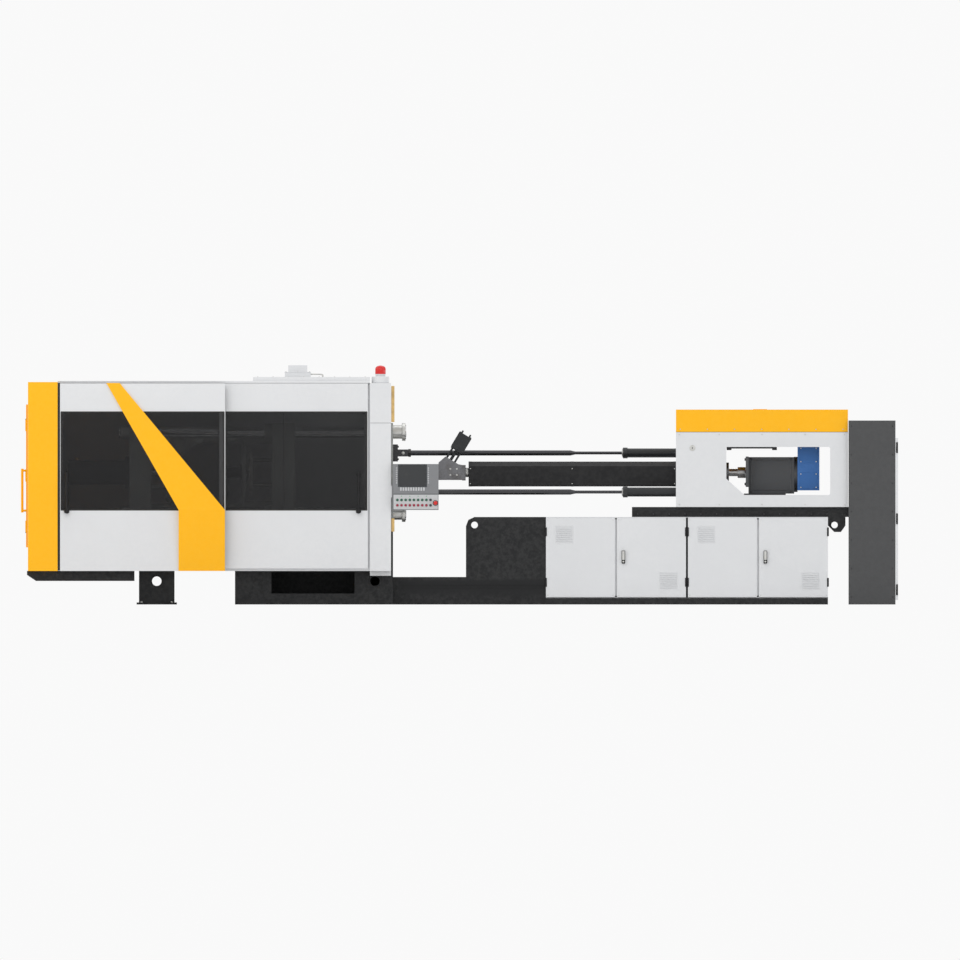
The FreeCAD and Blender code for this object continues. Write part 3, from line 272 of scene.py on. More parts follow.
finish = {
    "bed_paint": paint("bedEnamel", (0.009, 0.0095, 0.0105), 0.4, 180.0, 0.1, 0.15, 0.2, (0.08, 0.08, 0.08)),
    "platen_paint": paint("platenEnamel", (0.4, 0.41, 0.4), 0.4, 150.0, 0.25, 0.25, 0.5),
    "link_steel": metal("linkSteel", (0.5, 0.49, 0.46), 0.32, (60.0, 60.0, 8.0), 0.6),
    "dark_rod": metal("darkRod", (0.07, 0.07, 0.075), 0.2, (3.0, 60.0, 60.0), 0.1, 0.05),
    "hard_chrome": metal("hardChrome", (0.78, 0.79, 0.8), 0.1, (220.0, 12.0, 12.0), 0.15, 0.05),
    "zinc_steel": metal("zincSteel", (0.62, 0.62, 0.6), 0.28, (90.0, 90.0, 90.0), 0.3),
    "yellow_paint": paint("yellowEnamel", (0.95, 0.46, 0.002), 0.38, 240.0, 0.03, 0.08, 0.12,
            (0.95, 0.55, 0.05), 0.0),
    "white_paint": paint("whiteEnamel", (0.68, 0.69, 0.705), 0.36, 240.0, 0.08, 0.08, 0.15, (0.8, 0.8, 0.8),
            0.08),
    "smoked_window": window("smokedWindow"),
    "black_metal": paint("blackPowder", (0.007, 0.007, 0.008), 0.48, 420.0, 0.06, 0.2, 0.2,
            (0.05, 0.05, 0.05)),
    "cylinder_paint": paint("cylinderGrey", (0.026, 0.028, 0.03), 0.36, 220.0, 0.1, 0.12, 0.3),
    "cabinet_grey": paint("cabinetGrey", (0.068, 0.069, 0.071), 0.5, 460.0, 0.08, 0.25, 0.12),
    "barrel_steel": metal("nitridedSteel", (0.2, 0.2, 0.21), 0.38, (6.0, 120.0, 120.0), 0.6),
    "screw_steel": metal("screwSteel", (0.5, 0.5, 0.5), 0.3, (200.0, 10.0, 10.0), 0.2),
    "motor_paint": paint("motorCasting", (0.07, 0.073, 0.078), 0.48, 90.0, 0.15, 0.4, 0.4,
            (0.12, 0.12, 0.12)),
    "blue_paint": paint("blueEnamel", (0.04, 0.15, 0.42), 0.32, 200.0, 0.1, 0.12, 0.3),
    "panel_grey": plastic("panelGrey", (0.2, 0.205, 0.215), 0.48, 1100.0, 0.3),
    "stop_red": plastic("stopRed", (0.6, 0.012, 0.01), 0.22, 500.0, 0.05),
    "lens_red": plastic("lensRed", (0.55, 0.008, 0.006), 0.15, 120.0, 0.05, 0.12),
}
extra = {
    # besides real rubber, this material colours thin dark strips that are painted shade: the lid's shadow
    # line, the cover slots and the keyhole
    "rubber": plastic("sealRubber", (0.012, 0.012, 0.012), 0.65, 700.0, 0.3),
    "screen": plastic("screenGlass", (0.022, 0.024, 0.026), 0.12, 60.0, 0.0, 0.15),
    "keyLight": plastic("keyLight", (0.5, 0.51, 0.52), 0.4, 800.0, 0.1),
    "keyDark": plastic("keyDark", (0.03, 0.035, 0.04), 0.35, 800.0, 0.1),
    "keyGreen": plastic("keyGreen", (0.02, 0.1, 0.06), 0.4, 800.0, 0.1),
    "keyRed": plastic("keyRed", (0.3, 0.02, 0.045), 0.35, 800.0, 0.1),
    "lampGreen": plastic("lampGreen", (0.06, 0.3, 0.1), 0.2, 200.0, 0.0, 0.2),
    "brass": metal("brassFitting", (0.7, 0.48, 0.2), 0.3, (60.0, 60.0, 60.0), 0.5),
    "boltBlack": metal("blackenedBolt", (0.07, 0.07, 0.075), 0.4, (80.0, 80.0, 80.0), 0.4),
}
slotOf = {s["node"]: s["material_slot"] for s in frame["record"]["subparts"]}
for name, obj in nodes.items():
    obj.data.materials.clear()
    obj.data.materials.append(finish[slotOf[name]])
print("finishes set:", len(finish) + len(extra))


# surfaces
def addPiece(name, verts, faces, mat, body, angle=35):
    mesh = bpy.data.meshes.new(name)
    mesh.from_pydata([tuple(v) for v in np.asarray(verts).tolist()], [], faces)
    mesh.polygons.foreach_set("use_smooth", np.full(len(mesh.polygons), True))
    mesh.set_sharp_from_angle(angle=math.radians(angle))
    mesh.materials.append(extra.get(mat) or finish[mat])
    obj = bpy.data.objects.new(name, mesh)
    bpy.context.scene.collection.objects.link(obj)
    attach(obj, body)
    return obj


# where the own x, y and z of a piece point when it stands on a direction
axes = {"x": ((0, 1, 0), (0, 0, 1), (1, 0, 0)), "-x": ((0, 0, 1), (0, 1, 0), (-1, 0, 0)),
        "y": ((0, 0, 1), (1, 0, 0), (0, 1, 0)), "-y": ((1, 0, 0), (0, 0, 1), (0, -1, 0)),
        "z": ((1, 0, 0), (0, 1, 0), (0, 0, 1)), "-z": ((0, 1, 0), (1, 0, 0), (0, 0, -1))}


def stand(points, at, direction):
    # local points turned onto a direction and moved to their place
    basis = np.array(axes[direction] if isinstance(direction, str) else direction, float)
    return points @ basis + np.array(at, float)


def gridFaces(rows, cols, closed=True):
    # quads between neighbouring rings of a grid of rows by cols points
    i, j = np.meshgrid(np.arange(rows - 1), np.arange(cols if closed else cols - 1), indexing="ij")
    a, b = i * cols + j, i * cols + (j + 1) % cols
    return np.stack([a, b, b + cols, a + cols], -1).reshape(-1, 4).tolist()


def addEnds(faces, rows, count):
    # flat faces over the first and the last ring
    faces.append(list(range(count))[::-1])
    faces.append(list(range((rows - 1) * count, rows * count)))
    return faces


def latheShape(profile, turns=40, ribs=0, depth=0.0):
    # ring k has the radius r_k * (1 + depth * cos(ribs * angle)) at the height z_k; ends are flat discs
    profile = np.array(profile, float)
    angle = np.linspace(0, 2 * np.pi, turns, endpoint=False)
    radius = profile[:, 1:2] * (1 + depth * np.cos(ribs * angle))[None, :]
    points = np.stack([radius * np.cos(angle), radius * np.sin(angle),
                       np.repeat(profile[:, :1], turns, 1)], -1).reshape(-1, 3)
    rows = len(profile)
    return points, addEnds(gridFaces(rows, turns), rows, turns)


def ringShape(profile, turns=40):
    # a closed profile of (height, radius) carried round a circle, as in a washer
    points, faces = latheShape(list(profile) + [profile[0]], turns)
    return points, faces[:-2]


def slabShape(outline, thick, edge=0.002):
    # an outline carried upwards: drawn in by edge at both ends, full size between
    outline = np.array(outline, float)
    centre = (outline.max(0) + outline.min(0)) / 2
    half = (outline.max(0) - outline.min(0)) / 2
    inner = centre + (outline - centre) * np.maximum(half - edge, 0) / np.maximum(half, 1e-9)
    levels = [(inner, 0.0), (outline, edge), (outline, thick - edge), (inner, thick)]
    points = np.concatenate([np.c_[loop, np.full(len(loop), z)] for loop, z in levels])
    count = len(outline)
    return points, addEnds(gridFaces(4, count), 4, count)


def roundRect(width, height, radius, steps=6):
    # a rectangle about the origin whose corners are quarter circles
    radius = min(radius, width / 2 - 1e-4, height / 2 - 1e-4)
    quarter = np.linspace(0, np.pi / 2, steps)
    loops = []
    for k, (a, b) in enumerate(((1, 1), (-1, 1), (-1, -1), (1, -1))):
        angle = quarter + k * np.pi / 2
        loops.append(np.c_[a * (width / 2 - radius) + radius * np.cos(angle),
                           b * (height / 2 - radius) + radius * np.sin(angle)])
    return np.concatenate(loops)


def tubeShape(path, radius, sides=20):
    # a circle carried along a path; at each point it stands square to the path's direction
    path = np.array(path, float)
    run = np.gradient(path, axis=0)
    run /= np.linalg.norm(run, axis=1)[:, None]
    side = np.cross(run, (0.0, 1.0, 0.001) if abs(run[:, 1]).max() < 0.9 else (1.0, 0.001, 0.0))
    side /= np.linalg.norm(side, axis=1)[:, None]
    other = np.cross(run, side)
    angle = np.linspace(0, 2 * np.pi, sides, endpoint=False)
    points = (path[:, None] + radius * (np.cos(angle)[None, :, None] * side[:, None]
                                        + np.sin(angle)[None, :, None] * other[:, None]))
    rows = len(path)
    return points.reshape(-1, 3), addEnds(gridFaces(rows, sides), rows, sides)


def frameShape(width, height, corner, reach, lift):
    # a flat strip with a rounded back carried round a rounded rectangle
    outer, inner = roundRect(width, height, corner), roundRect(width - 2 * reach, height - 2 * reach,
                                                              max(corner - reach, 0.001))
    mid = (outer + inner) / 2
    rise = outer * 0.8 + inner * 0.2, outer * 0.2 + inner * 0.8
    loops = [np.c_[outer, np.zeros(len(outer))], np.c_[rise[0], np.full(len(mid), lift * 0.8)],
             np.c_[mid, np.full(len(mid), lift)], np.c_[rise[1], np.full(len(mid), lift * 0.8)],
             np.c_[inner, np.zeros(len(mid))]]
    loops.append(loops[0])
    return np.concatenate(loops), gridFaces(6, len(outer))


def manyShape(shape, places, direction):
    # one small shape repeated at every place
    points, faces = shape
    verts = np.concatenate([stand(points, at, direction) for at in places])
    step = len(points)
    return verts, [[v + k * step for v in face] for k in range(len(places)) for face in faces]


def joined(shapes):
    verts, faces, base = [], [], 0
    for points, quads in shapes:
        verts.append(points)
        faces += [[v + base for v in face] for face in quads]
        base += len(points)
    return np.concatenate(verts), faces


def turned(name, profile, at, direction, mat, body, turns=40, ribs=0, depth=0.0, angle=35):
    points, faces = latheShape(profile, turns, ribs, depth)
    return addPiece(name, stand(points, at, direction), faces, mat, body, angle)


def slab(name, outline, thick, at, direction, mat, body, edge=0.002):
    points, faces = slabShape(outline, thick, edge)
    return addPiece(name, stand(points, at, direction), faces, mat, body)


def scatter(name, shape, places, direction, mat, body):
    verts, faces = manyShape(shape, places, direction)
    return addPiece(name, verts, faces, mat, body)


def capScrew(radius):
    # a socket screw: round head with a sunk middle
    return latheShape([(0, radius), (radius * 0.75, radius), (radius * 0.95, radius * 0.85),
                       (radius * 0.95, radius * 0.5), (radius * 0.45, radius * 0.45)], 12)


def hexHead(radius):
    # a bolt head on its washer
    washer = latheShape([(0, radius * 1.25), (radius * 0.2, radius * 1.25)], 16)
    head = latheShape([(radius * 0.2, radius), (radius * 0.8, radius), (radius * 0.95, radius * 0.85)], 6)
    return joined([washer, head])


axisZ = 1.386


def size(node):
    low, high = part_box(node)
    return np.array(low), np.array(high)


# guards
guard = {"sealReach": 0.016, "sealLift": 0.0025, "mullion": 0.009, "knob": 0.027}


def doorFittings(word, door, pane, handle, body):
    low, high = size(door)
    paneLow, paneHigh = size(pane)
    middle = (paneLow + paneHigh) / 2
    span = paneHigh - paneLow
    seal = frameShape(span[0] - 0.002, span[2] - 0.016, 0.006, guard["sealReach"], guard["sealLift"])
    addPiece(word + "WindowSeal", stand(seal[0], (middle[0], low[1], middle[2]), "-y"), seal[1],
             "rubber", body)
    handleLow, handleHigh = size(handle)
    x, y = (handleLow[0] + handleHigh[0]) / 2, handleLow[1] + 0.014
    for k, z in enumerate((handleLow[2] + 0.022, handleHigh[2] - 0.022)):
        turned(f"{word}HandleFoot{k}", [(0, 0.026), (0.004, 0.026), (0.008, 0.018), (0.02, 0.013)],
               (x, low[1], z), "-y", "black_metal", body)
        wide = 0.0275 if k == 0 else 0.019
        turned(f"{word}HandleEnd{k}", [(-0.024, 0.3 * wide), (-0.021, 0.7 * wide), (-0.014, wide),
        (0.014, wide),
                                       (0.021, 0.7 * wide), (0.024, 0.3 * wide)],
               (x, low[1] - guard["knob"], z), "z", "black_metal", body, 36)
    runner = [(x0, (low[1] + high[1]) / 2 + 0.005, low[2] + 0.001) for x0 in (low[0] + 0.12, high[0] - 0.12)]
    scatter(word + "DoorRollers", latheShape([(-0.008, 0.018), (-0.006, 0.02), (0.006, 0.02),
            (0.008, 0.018)], 24),
            [(a, b, c + 0.022) for a, b, c in runner], "y", "rubber", body)
    return low, high, paneLow, paneHigh


doorFittings("toggle", "toggle_door", "toggle_window", "toggle_handle", "toggle_guard")
low, high, paneLow, paneHigh = doorFittings("mould", "mould_door", "mould_window", "mould_handle",
                                            "mould_guard")
seam = low[0] + (high[0] - low[0]) * 0.41
slab("mouldMullion", roundRect(guard["mullion"], paneHigh[2] - paneLow[2] - 0.04, 0.002), 0.0022,
     (seam, paneLow[1] - 0.0002, (paneLow[2] + paneHigh[2]) / 2), "-y", "black_metal", "mould_guard", 0.0005)

ribbonLow, ribbonHigh = size("toggle_ribbon")
slab("ribbonToe", roundRect(0.486, 0.012, 0.003), 0.012,
     (ribbonHigh[0] - 0.2435, ribbonLow[1] + 0.055, ribbonLow[2] + 0.006), "-y", "yellow_paint",
             "toggle_guard")

endLow, endHigh = size("end_cover")
slab("endSeal", roundRect(0.022, endHigh[2] - endLow[2] - 0.02, 0.006), 0.03,
     (endHigh[0] + 0.0135, endLow[1] + 0.034, (endLow[2] + endHigh[2]) / 2), "-y", "rubber", "base")
doorLow = size("end_door")[0]
for k, z in enumerate((0.8, 1.35, 1.9)):
    turned(f"endDoorHinge{k}", [(-0.05, 0.007), (-0.048, 0.0085), (0.048, 0.0085), (0.05, 0.007)],
           (-3.5575, 0.5285, z), "z", "black_metal", "end_access_door", 20)
for k, z in enumerate((0.986, 1.406)):
    slab(f"endHandleBracket{k}", roundRect(0.05, 0.036, 0.008), 0.011, (doorLow[0] + 0.0635, -0.44, z),
         "-x", "black_metal", "end_access_door")

roofLow, roofHigh = size("roof_cover")
top = roofLow[2] + 0.042
ease = np.linspace(0, np.pi, 17)
path = [(-0.607, -0.6, top)] + [(-0.525 - 0.082 * math.cos(a), -0.6, top + 0.02 + 0.01 * math.sin(a))
                                for a in ease] + [(-0.443, -0.6, top)]
points, faces = tubeShape(path, 0.008, 14)
addPiece("roofHandle", points, faces, "zinc_steel", "roof_slide")
rimX, rimY = roofLow[0] + 0.47, -0.42
slab("ventFlange", roundRect(0.285, 0.53, 0.012), 0.006, (rimX, rimY, top + 0.048), "z", "white_paint",
     "roof_slide")
scatter("ventScrews", hexHead(0.006), [(rimX + a, rimY + b, top + 0.054) for a in (-0.125, 0, 0.125)
                                       for b in (-0.25, 0.25)], "z", "zinc_steel", "roof_slide")
places = [(x, roofLow[1] + 0.03, top) for x in np.linspace(roofLow[0] + 0.05, roofHigh[0] - 0.05, 8)]
places += [(x, roofHigh[1] - 0.03, z) for x, _, z in places]
scatter("roofScrews", capScrew(0.006), places, "z", "zinc_steel", "roof_slide")

columnLow = size("mould_columns")[0]
slab("columnSeam", roundRect(0.219, 0.003, 0.001), 0.0008, (0.1625, columnLow[1] + 0.003, 1.906), "-y",
     "rubber", "base", 0.0003)
for k, (z, tall) in enumerate(((2.105, 0.38), (0.835, 0.14))):
    slab(f"columnProfile{k}", roundRect(0.034, tall, 0.006), 0.05, (0.2925, columnLow[1] + 0.083, z), "-y",
         "brass", "base")

beaconLow, beaconHigh = size("beacon")
bx, by, bz = (beaconLow[0] + beaconHigh[0]) / 2, (beaconLow[1] + beaconHigh[1]) / 2, beaconLow[2]
foot = turned("beaconFoot", [(0, 0.088), (0.004, 0.092), (0.064, 0.092), (0.068, 0.088), (0.07, 0.052),
                             (0.084, 0.05), (0.086, 0.058), (0.094, 0.058)], (bx, by, bz), "z", "white_paint",
              "base", 48)
turned("beaconLens", [(0.092, 0.048), (0.095, 0.054), (0.15, 0.054), (0.166, 0.048), (0.177, 0.034),
                      (0.183, 0.014), (0.184, 0.002)], (bx, by, bz), "z", "lens_red", "base", 96,
       ribs=32, depth=0.02)
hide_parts("beacon")
print("guards dressed")


# cabinets
cabinetSeam = 3.3805
cabinet = {"left": 1.9, "pitch": 1.491, "width": 1.47, "door": 0.725, "foot": 0.078}
vane = slabShape(roundRect(0.166, 0.007, 0.003), 0.005, 0.0015)
for number in (1, 2, 3, 4):
    unit, right = divmod(number - 1, 2)
    start = cabinet["left"] + unit * cabinet["pitch"] + right * (cabinet["width"] - cabinet["door"])
    body, face = f"door_{number}", -0.5
    ventX = start + 0.105 + 0.35 * right + 0.0865
    ventZ = cabinet["foot"] + 0.575 - 0.487 * right + 0.0815
    points, faces = frameShape(0.196, 0.186, 0.008, 0.006, 0.002)
    addPiece(f"ventFrame{number}", stand(points, (ventX, face, ventZ), "-y"), faces, "white_paint", body)
    rows = [(ventX, face + 0.0002, ventZ - 0.0815 + 0.0125 + 0.022 * k) for k in range(7)]
    scatter(f"ventVanes{number}", vane, rows, "-y", "white_paint", body)
    points, faces = slabShape(roundRect(0.18, 0.17, 0.003), 0.0014, 0.0004)
    addPiece(f"ventMesh{number}", stand(points, (ventX, face + 0.0046, ventZ), "-y"), faces, "white_paint",
            body)
    edge = start + cabinet["door"] * right
    pin = latheShape([(-0.046, 0.0085), (-0.045, 0.0098), (0.045, 0.0098), (0.046, 0.0085)], 24)
    scatter(f"doorHinges{number}", pin, [(edge, face, z) for z in (0.233, 0.763)], "z", "black_metal", body)
    places = [(start + a, face, cabinet["foot"] + b) for a in (0.02, cabinet["door"] - 0.02)
              for b in (0.02, 0.81)]
    scatter(f"doorScrews{number}", capScrew(0.004), places, "-y", "zinc_steel", body)
for word in ("left", "right"):
    low, high = size("latch_" + word)
    x, z = (low[0] + high[0]) / 2, (low[2] + high[2]) / 2
    points, faces = frameShape(0.037, 0.137, 0.006, 0.006, 0.0022)
    addPiece(word + "LatchRim", stand(points, (x, low[1] + 0.0004, z), "-y"), faces, "black_metal",
            word + "_latch")
    slab(word + "LatchLock", roundRect(0.03, 0.036, 0.004), 0.004, (x, low[1] + 0.0004, z - 0.048), "-y",
         "black_metal", word + "_latch", 0.001)
    turned(word + "LatchKey", [(0, 0.009), (0.002, 0.009), (0.003, 0.007), (0.0015, 0.003)],
           (x, low[1] - 0.0034, z - 0.048), "-y", "zinc_steel", word + "_latch", 24)
for k, x in enumerate((2.625, 4.116)):
    slab(f"doorLip{k}", roundRect(0.03, 0.8, 0.002), 0.0015, (x + 0.003, -0.4785, 0.493), "-y", "white_paint",
         f"door_{2 * k + 1}", 0.0004)
slab("cabinetGapCover", roundRect(0.02, 0.84, 0.002), 0.004, (cabinetSeam, -0.438, 0.493), "-y",
        "black_metal", "base",
     0.001)
tallLow, tallHigh = size("tall_cabinet")
pin = latheShape([(-0.056, 0.0085), (-0.054, 0.0102), (0.054, 0.0102), (0.056, 0.0085)], 24)
scatter("tallHinges", pin, [(5.5867, -0.4855, z) for z in (0.155, 0.9, 1.647)], "z", "black_metal",
        "tall_cabinet_door")
places = [(x, tallLow[1], z) for x in (tallLow[0] + 0.03, tallHigh[0] - 0.03)
          for z in np.linspace(0.08, tallHigh[2] - 0.06, 7)]
scatter("tallScrews", capScrew(0.006), places, "-y", "boltBlack", "base")
print("cabinets dressed")

# operator's panel
panelMidX, panelMidZ = 0.535, 1.2335
screenX, screenZ = 0.4985, 1.35275
face = size("control_panel")[0][1]
slab("screenSheet", roundRect(0.286, 0.22, 0.002), 0.002, (screenX, face + 0.0042, screenZ), "-y", "screen",
     "panel", 0.0004)
points, faces = frameShape(0.305, 0.2395, 0.006, 0.008, 0.003)
addPiece("screenBezel", stand(points, (screenX, face, screenZ), "-y"), faces, "keyDark", "panel")
slab("keyShelf", roundRect(0.466, 0.152, 0.004), 0.0012, (0.533, face, 1.077), "-y", "keyLight", "panel",
        0.0004)
slab("shelfEdge", roundRect(0.472, 0.004, 0.001), 0.002, (0.533, face, 1.159), "-y", "keyDark", "panel",
        0.0004)
softKey = slabShape(roundRect(0.018, 0.036, 0.003), 0.004, 0.001)
scatter("softKeys", softKey, [(0.377 + 0.0268 * k, face, 1.212) for k in range(10)], "-y", "keyLight",
        "panel")
sideKey = slabShape(roundRect(0.014, 0.012, 0.002), 0.003, 0.001)
scatter("sideKeysLeft", sideKey, [(0.332, face, 1.276 + 0.0225 * k) for k in range(8)], "-y", "keyLight",
        "panel")
scatter("sideKeysRight", sideKey, [(0.665, face, 1.276 + 0.0225 * k) for k in range(8)], "-y", "keyLight",
        "panel")
button = latheShape([(0, 0.0138), (0.003, 0.0138), (0.004, 0.011), (0.009, 0.0108), (0.0102, 0.0095),
                     (0.0094, 0.004)], 28)
row = [0.34 + 0.0435 * k for k in range(9)]
scatter("greenButtons", button, [(x, face - 0.001, 1.098) for x in row[:8]], "-y", "keyGreen", "panel")
scatter("redButtons", button, [(x, face - 0.001, 1.042) for x in row[:8]], "-y", "keyRed", "panel")
scatter("darkButtons", button, [(row[8], face - 0.001, z) for z in (1.042, 1.098)], "-y", "keyDark", "panel")
slab("selectorGrip", roundRect(0.008, 0.024, 0.0035), 0.012, (row[8], face - 0.009, 1.098), "-y", "keyDark",
     "panel", 0.0015)
lamp = latheShape([(0, 0.0045), (0.002, 0.0045), (0.0035, 0.003), (0.004, 0.001)], 18)
scatter("statusLamps", lamp, [(x, face - 0.001, 1.1375) for x in row[1::2]], "-y", "lampGreen", "panel")
points, faces = ringShape([(0, 0.029), (0.002, 0.029), (0.0035, 0.026), (0.0035, 0.0225), (0, 0.0225)], 40)
addPiece("stopCollar", stand(points, (0.74, face, 1.066), "-y"), faces, "keyDark", "panel")
turned("stopCap", [(0, 0.0205), (0.001, 0.0212), (0.004, 0.0205), (0.0062, 0.0165), (0.0068, 0.009)],
       (0.74, -0.9955 + 0.001, 1.066), "-y", "stop_red", "stop", 40)
slab("panelLid", roundRect(0.44, 0.44, 0.01), 0.0015, (panelMidX, face + 0.0639, panelMidZ), "y",
        "panel_grey",
     "panel", 0.0006)
scatter("panelLidScrews", capScrew(0.004), [(panelMidX + a, face + 0.065, panelMidZ + b)
                                            for a in (-0.2, 0.2) for b in (-0.2,
                                            0.2)], "y", "zinc_steel", "panel")
print("panel dressed")

# clamp unit
tieHalf = 0.425
for k, (y, z) in enumerate((a * tieHalf, axisZ + b * tieHalf) for a in (-1, 1) for b in (-1, 1)):
    points, faces = ringShape([(0, 0.09), (0.004, 0.094), (0.034, 0.094), (0.038, 0.09), (0.038, 0.0605),
                               (0, 0.0605)], 48)
    addPiece(f"tieCollar{k}", stand(points, (0.388, y, z), "x"), faces, "zinc_steel", "base")
    ring = [(0.4235, y + 0.078 * math.cos(a), z + 0.078 * math.sin(a)) for a in np.arange(6) * math.pi / 3]
    scatter(f"tieCollarScrews{k}", capScrew(0.0075), ring, "x", "boltBlack", "base")
    turned(f"tieEnd{k}", [(0, 0.0585), (0.003, 0.055), (0.0036, 0.02), (0.001, 0.012)], (0.4298, y, z), "x",
           "hard_chrome", "base", 40)
cylinderLow = size("clamp_cylinder")[0]
ring = [(cylinderLow[0] + 0.0008, 0.098 * math.cos(a), axisZ + 0.098 * math.sin(a))
        for a in np.arange(8) * math.pi / 4 + 0.2]
scatter("cylinderScrews", capScrew(0.011), ring, "-x", "boltBlack", "base")
turned("cylinderPort", [(-0.002, 0.024), (0.014, 0.024), (0.016, 0.02), (0.03, 0.02), (0.03, 0.012)],
       (cylinderLow[0] + 0.09, 0, axisZ + 0.129), "z", "brass", "base", 6)
cap = latheShape([(0, 0.04), (0.003, 0.04), (0.0055, 0.037), (0.0055, 0.014), (0.004, 0.012)], 32)
for word, side in (("upper", 1), ("lower", -1)):
    pins = (("rear", -2.0834, 0.372, 0.307, "base"), ("platen", -1.396, 0.372, 0.295, "moving_platen_unit"),
            ("elbow", -1.7397, 0.3419, 0.225, word + "_rear_links"))
    for kind, x, z, reach, body in pins:
        for end, direction, y in (("Front", "-y", -reach), ("", "y", reach)):
            addPiece(f"{word}{kind.title()}Cap{end}", stand(cap[0], (x, y, axisZ + side * z), direction),
                     cap[1], "zinc_steel", body)
print("clamp unit dressed")

# injection unit
rodSide, rodRise, glandX = 0.26, 0.205, 2.7092
for word, side in (("upper", 1), ("lower", -1)):
    y, z = side * rodSide, axisZ + side * rodRise
    points, faces = ringShape([(0, 0.044), (0.002, 0.048), (0.026, 0.048), (0.028, 0.044), (0.028, 0.0285),
                               (0, 0.0285)], 6)
    addPiece(word + "RodNut", stand(points, (0.4545, y, z), "x"), faces, "boltBlack", "base", angle=20)
    turned(word + "RodPin", [(-0.038, 0.013), (-0.037, 0.016), (0.037, 0.016), (0.038, 0.013)], (0.4, y, z),
           "y", "zinc_steel", "base", 28)
    scatter(word + "RodFootScrews", hexHead(0.011), [(0.345, y + a, z + b) for a in (-0.05, 0.05)
                                                     for b in (-0.066, 0.066)], "x", "boltBlack", "base")
    points, faces = ringShape([(0, 0.038), (0.01, 0.038), (0.013, 0.034), (0.013, 0.018), (0, 0.018)], 40)
    addPiece(word + "RodGland", stand(points, (glandX, y, z), "-x"), faces, "zinc_steel", "carriage")
    ring = [(glandX, y + 0.0475 * math.cos(a), z + 0.0475 * math.sin(a)) for a in np.arange(6) * math.pi / 3]
    scatter(word + "GlandScrews", capScrew(0.006), ring, "-x", "boltBlack", "carriage")

coverLow, coverHigh = size("barrel_cover")
half, low, high = coverHigh[1], coverLow[2], coverHigh[2]
section = np.array([(-half, low), (half, low), (half, high - 0.048), (half - 0.06, high),
                    (-half + 0.06, high), (-half, high - 0.048)])
centre = (section.max(0) + section.min(0)) / 2
outer = centre + (section - centre) * 1.008
for k, (x, wide) in enumerate(((1.092, 0.028), (2.16, 0.03), (3.236, 0.028))):
    loops = [np.c_[loop, np.full(6, h)] for loop, h in ((outer, 0), (outer, wide), (section, wide),
            (section, 0),
                                                        (outer, 0))]
    addPiece(f"coverStrap{k}", stand(np.concatenate(loops), (x, 0, 0), "x"), gridFaces(5, 6), "black_metal",
             "carriage", angle=20)
places = [(x, z) for x in (1.106, 2.175, 3.25) for z in (low + 0.03, high - 0.075)]
proud = 0.0008
scatter("coverScrewsFront", capScrew(0.006), [(x, -half - proud, z) for x, z in places], "-y", "zinc_steel",
        "carriage")
scatter("coverScrewsRear", capScrew(0.006), [(x, half + proud, z) for x, z in places], "y", "zinc_steel",
        "carriage")
# the vent slots are drawn as thin dark strips on the cover: painted shade where the openings are
slots = [(x, -half, 1.27) for x in np.arange(1.3, 3.1, 0.035)]
scatter("coverSlots", slabShape(roundRect(0.022, 0.006, 0.0029), 0.0006, 0.0002), slots, "-y", "rubber",
        "carriage")

scatter("nozzleScrewsFront", hexHead(0.008), [(x, -0.08, z) for x in (0.896, 0.964) for z in (1.36, 1.424)],
        "-y", "zinc_steel", "carriage")
scatter("nozzleScrewsRear", hexHead(0.008), [(x, 0.08, z) for x in (0.896, 0.964) for z in (1.36, 1.424)],
        "y", "zinc_steel", "carriage")
points, faces = ringShape([(0, 0.049), (0.001, 0.0505), (0.024, 0.0505), (0.025, 0.049), (0.025, 0.0465),
                           (0, 0.0465)], 48)
addPiece("neckHeater", stand(points, (1.0585, 0, axisZ), "x"), faces, "zinc_steel", "carriage")
lean = math.atan(68 / 114)
tilted = np.array([(math.cos(lean), 0, -math.sin(lean)), (0, 1, 0), (math.sin(lean), 0, math.cos(lean))])
valve = np.array((0.902, 0, 1.52))
corners = [np.array((a, b, 0.3017)) @ tilted + valve for a in (-0.06, 0.06) for b in (-0.056, 0.056)]
scatter("valveScrews", capScrew(0.007), corners, tilted, "boltBlack", "carriage")
belt = slabShape(roundRect(0.1485, 0.003, 0.001), 0.0006, 0.0002)
for k, up in enumerate((0.15, 0.28)):
    across = np.array([tilted[0], tilted[2], (0, -1, 0)])
    points = belt[0] @ across + np.array((0, -0.07, up)) @ tilted + valve
    addPiece(f"valveSeam{k}", points, belt[1], "rubber", "carriage")
print("injection unit dressed")

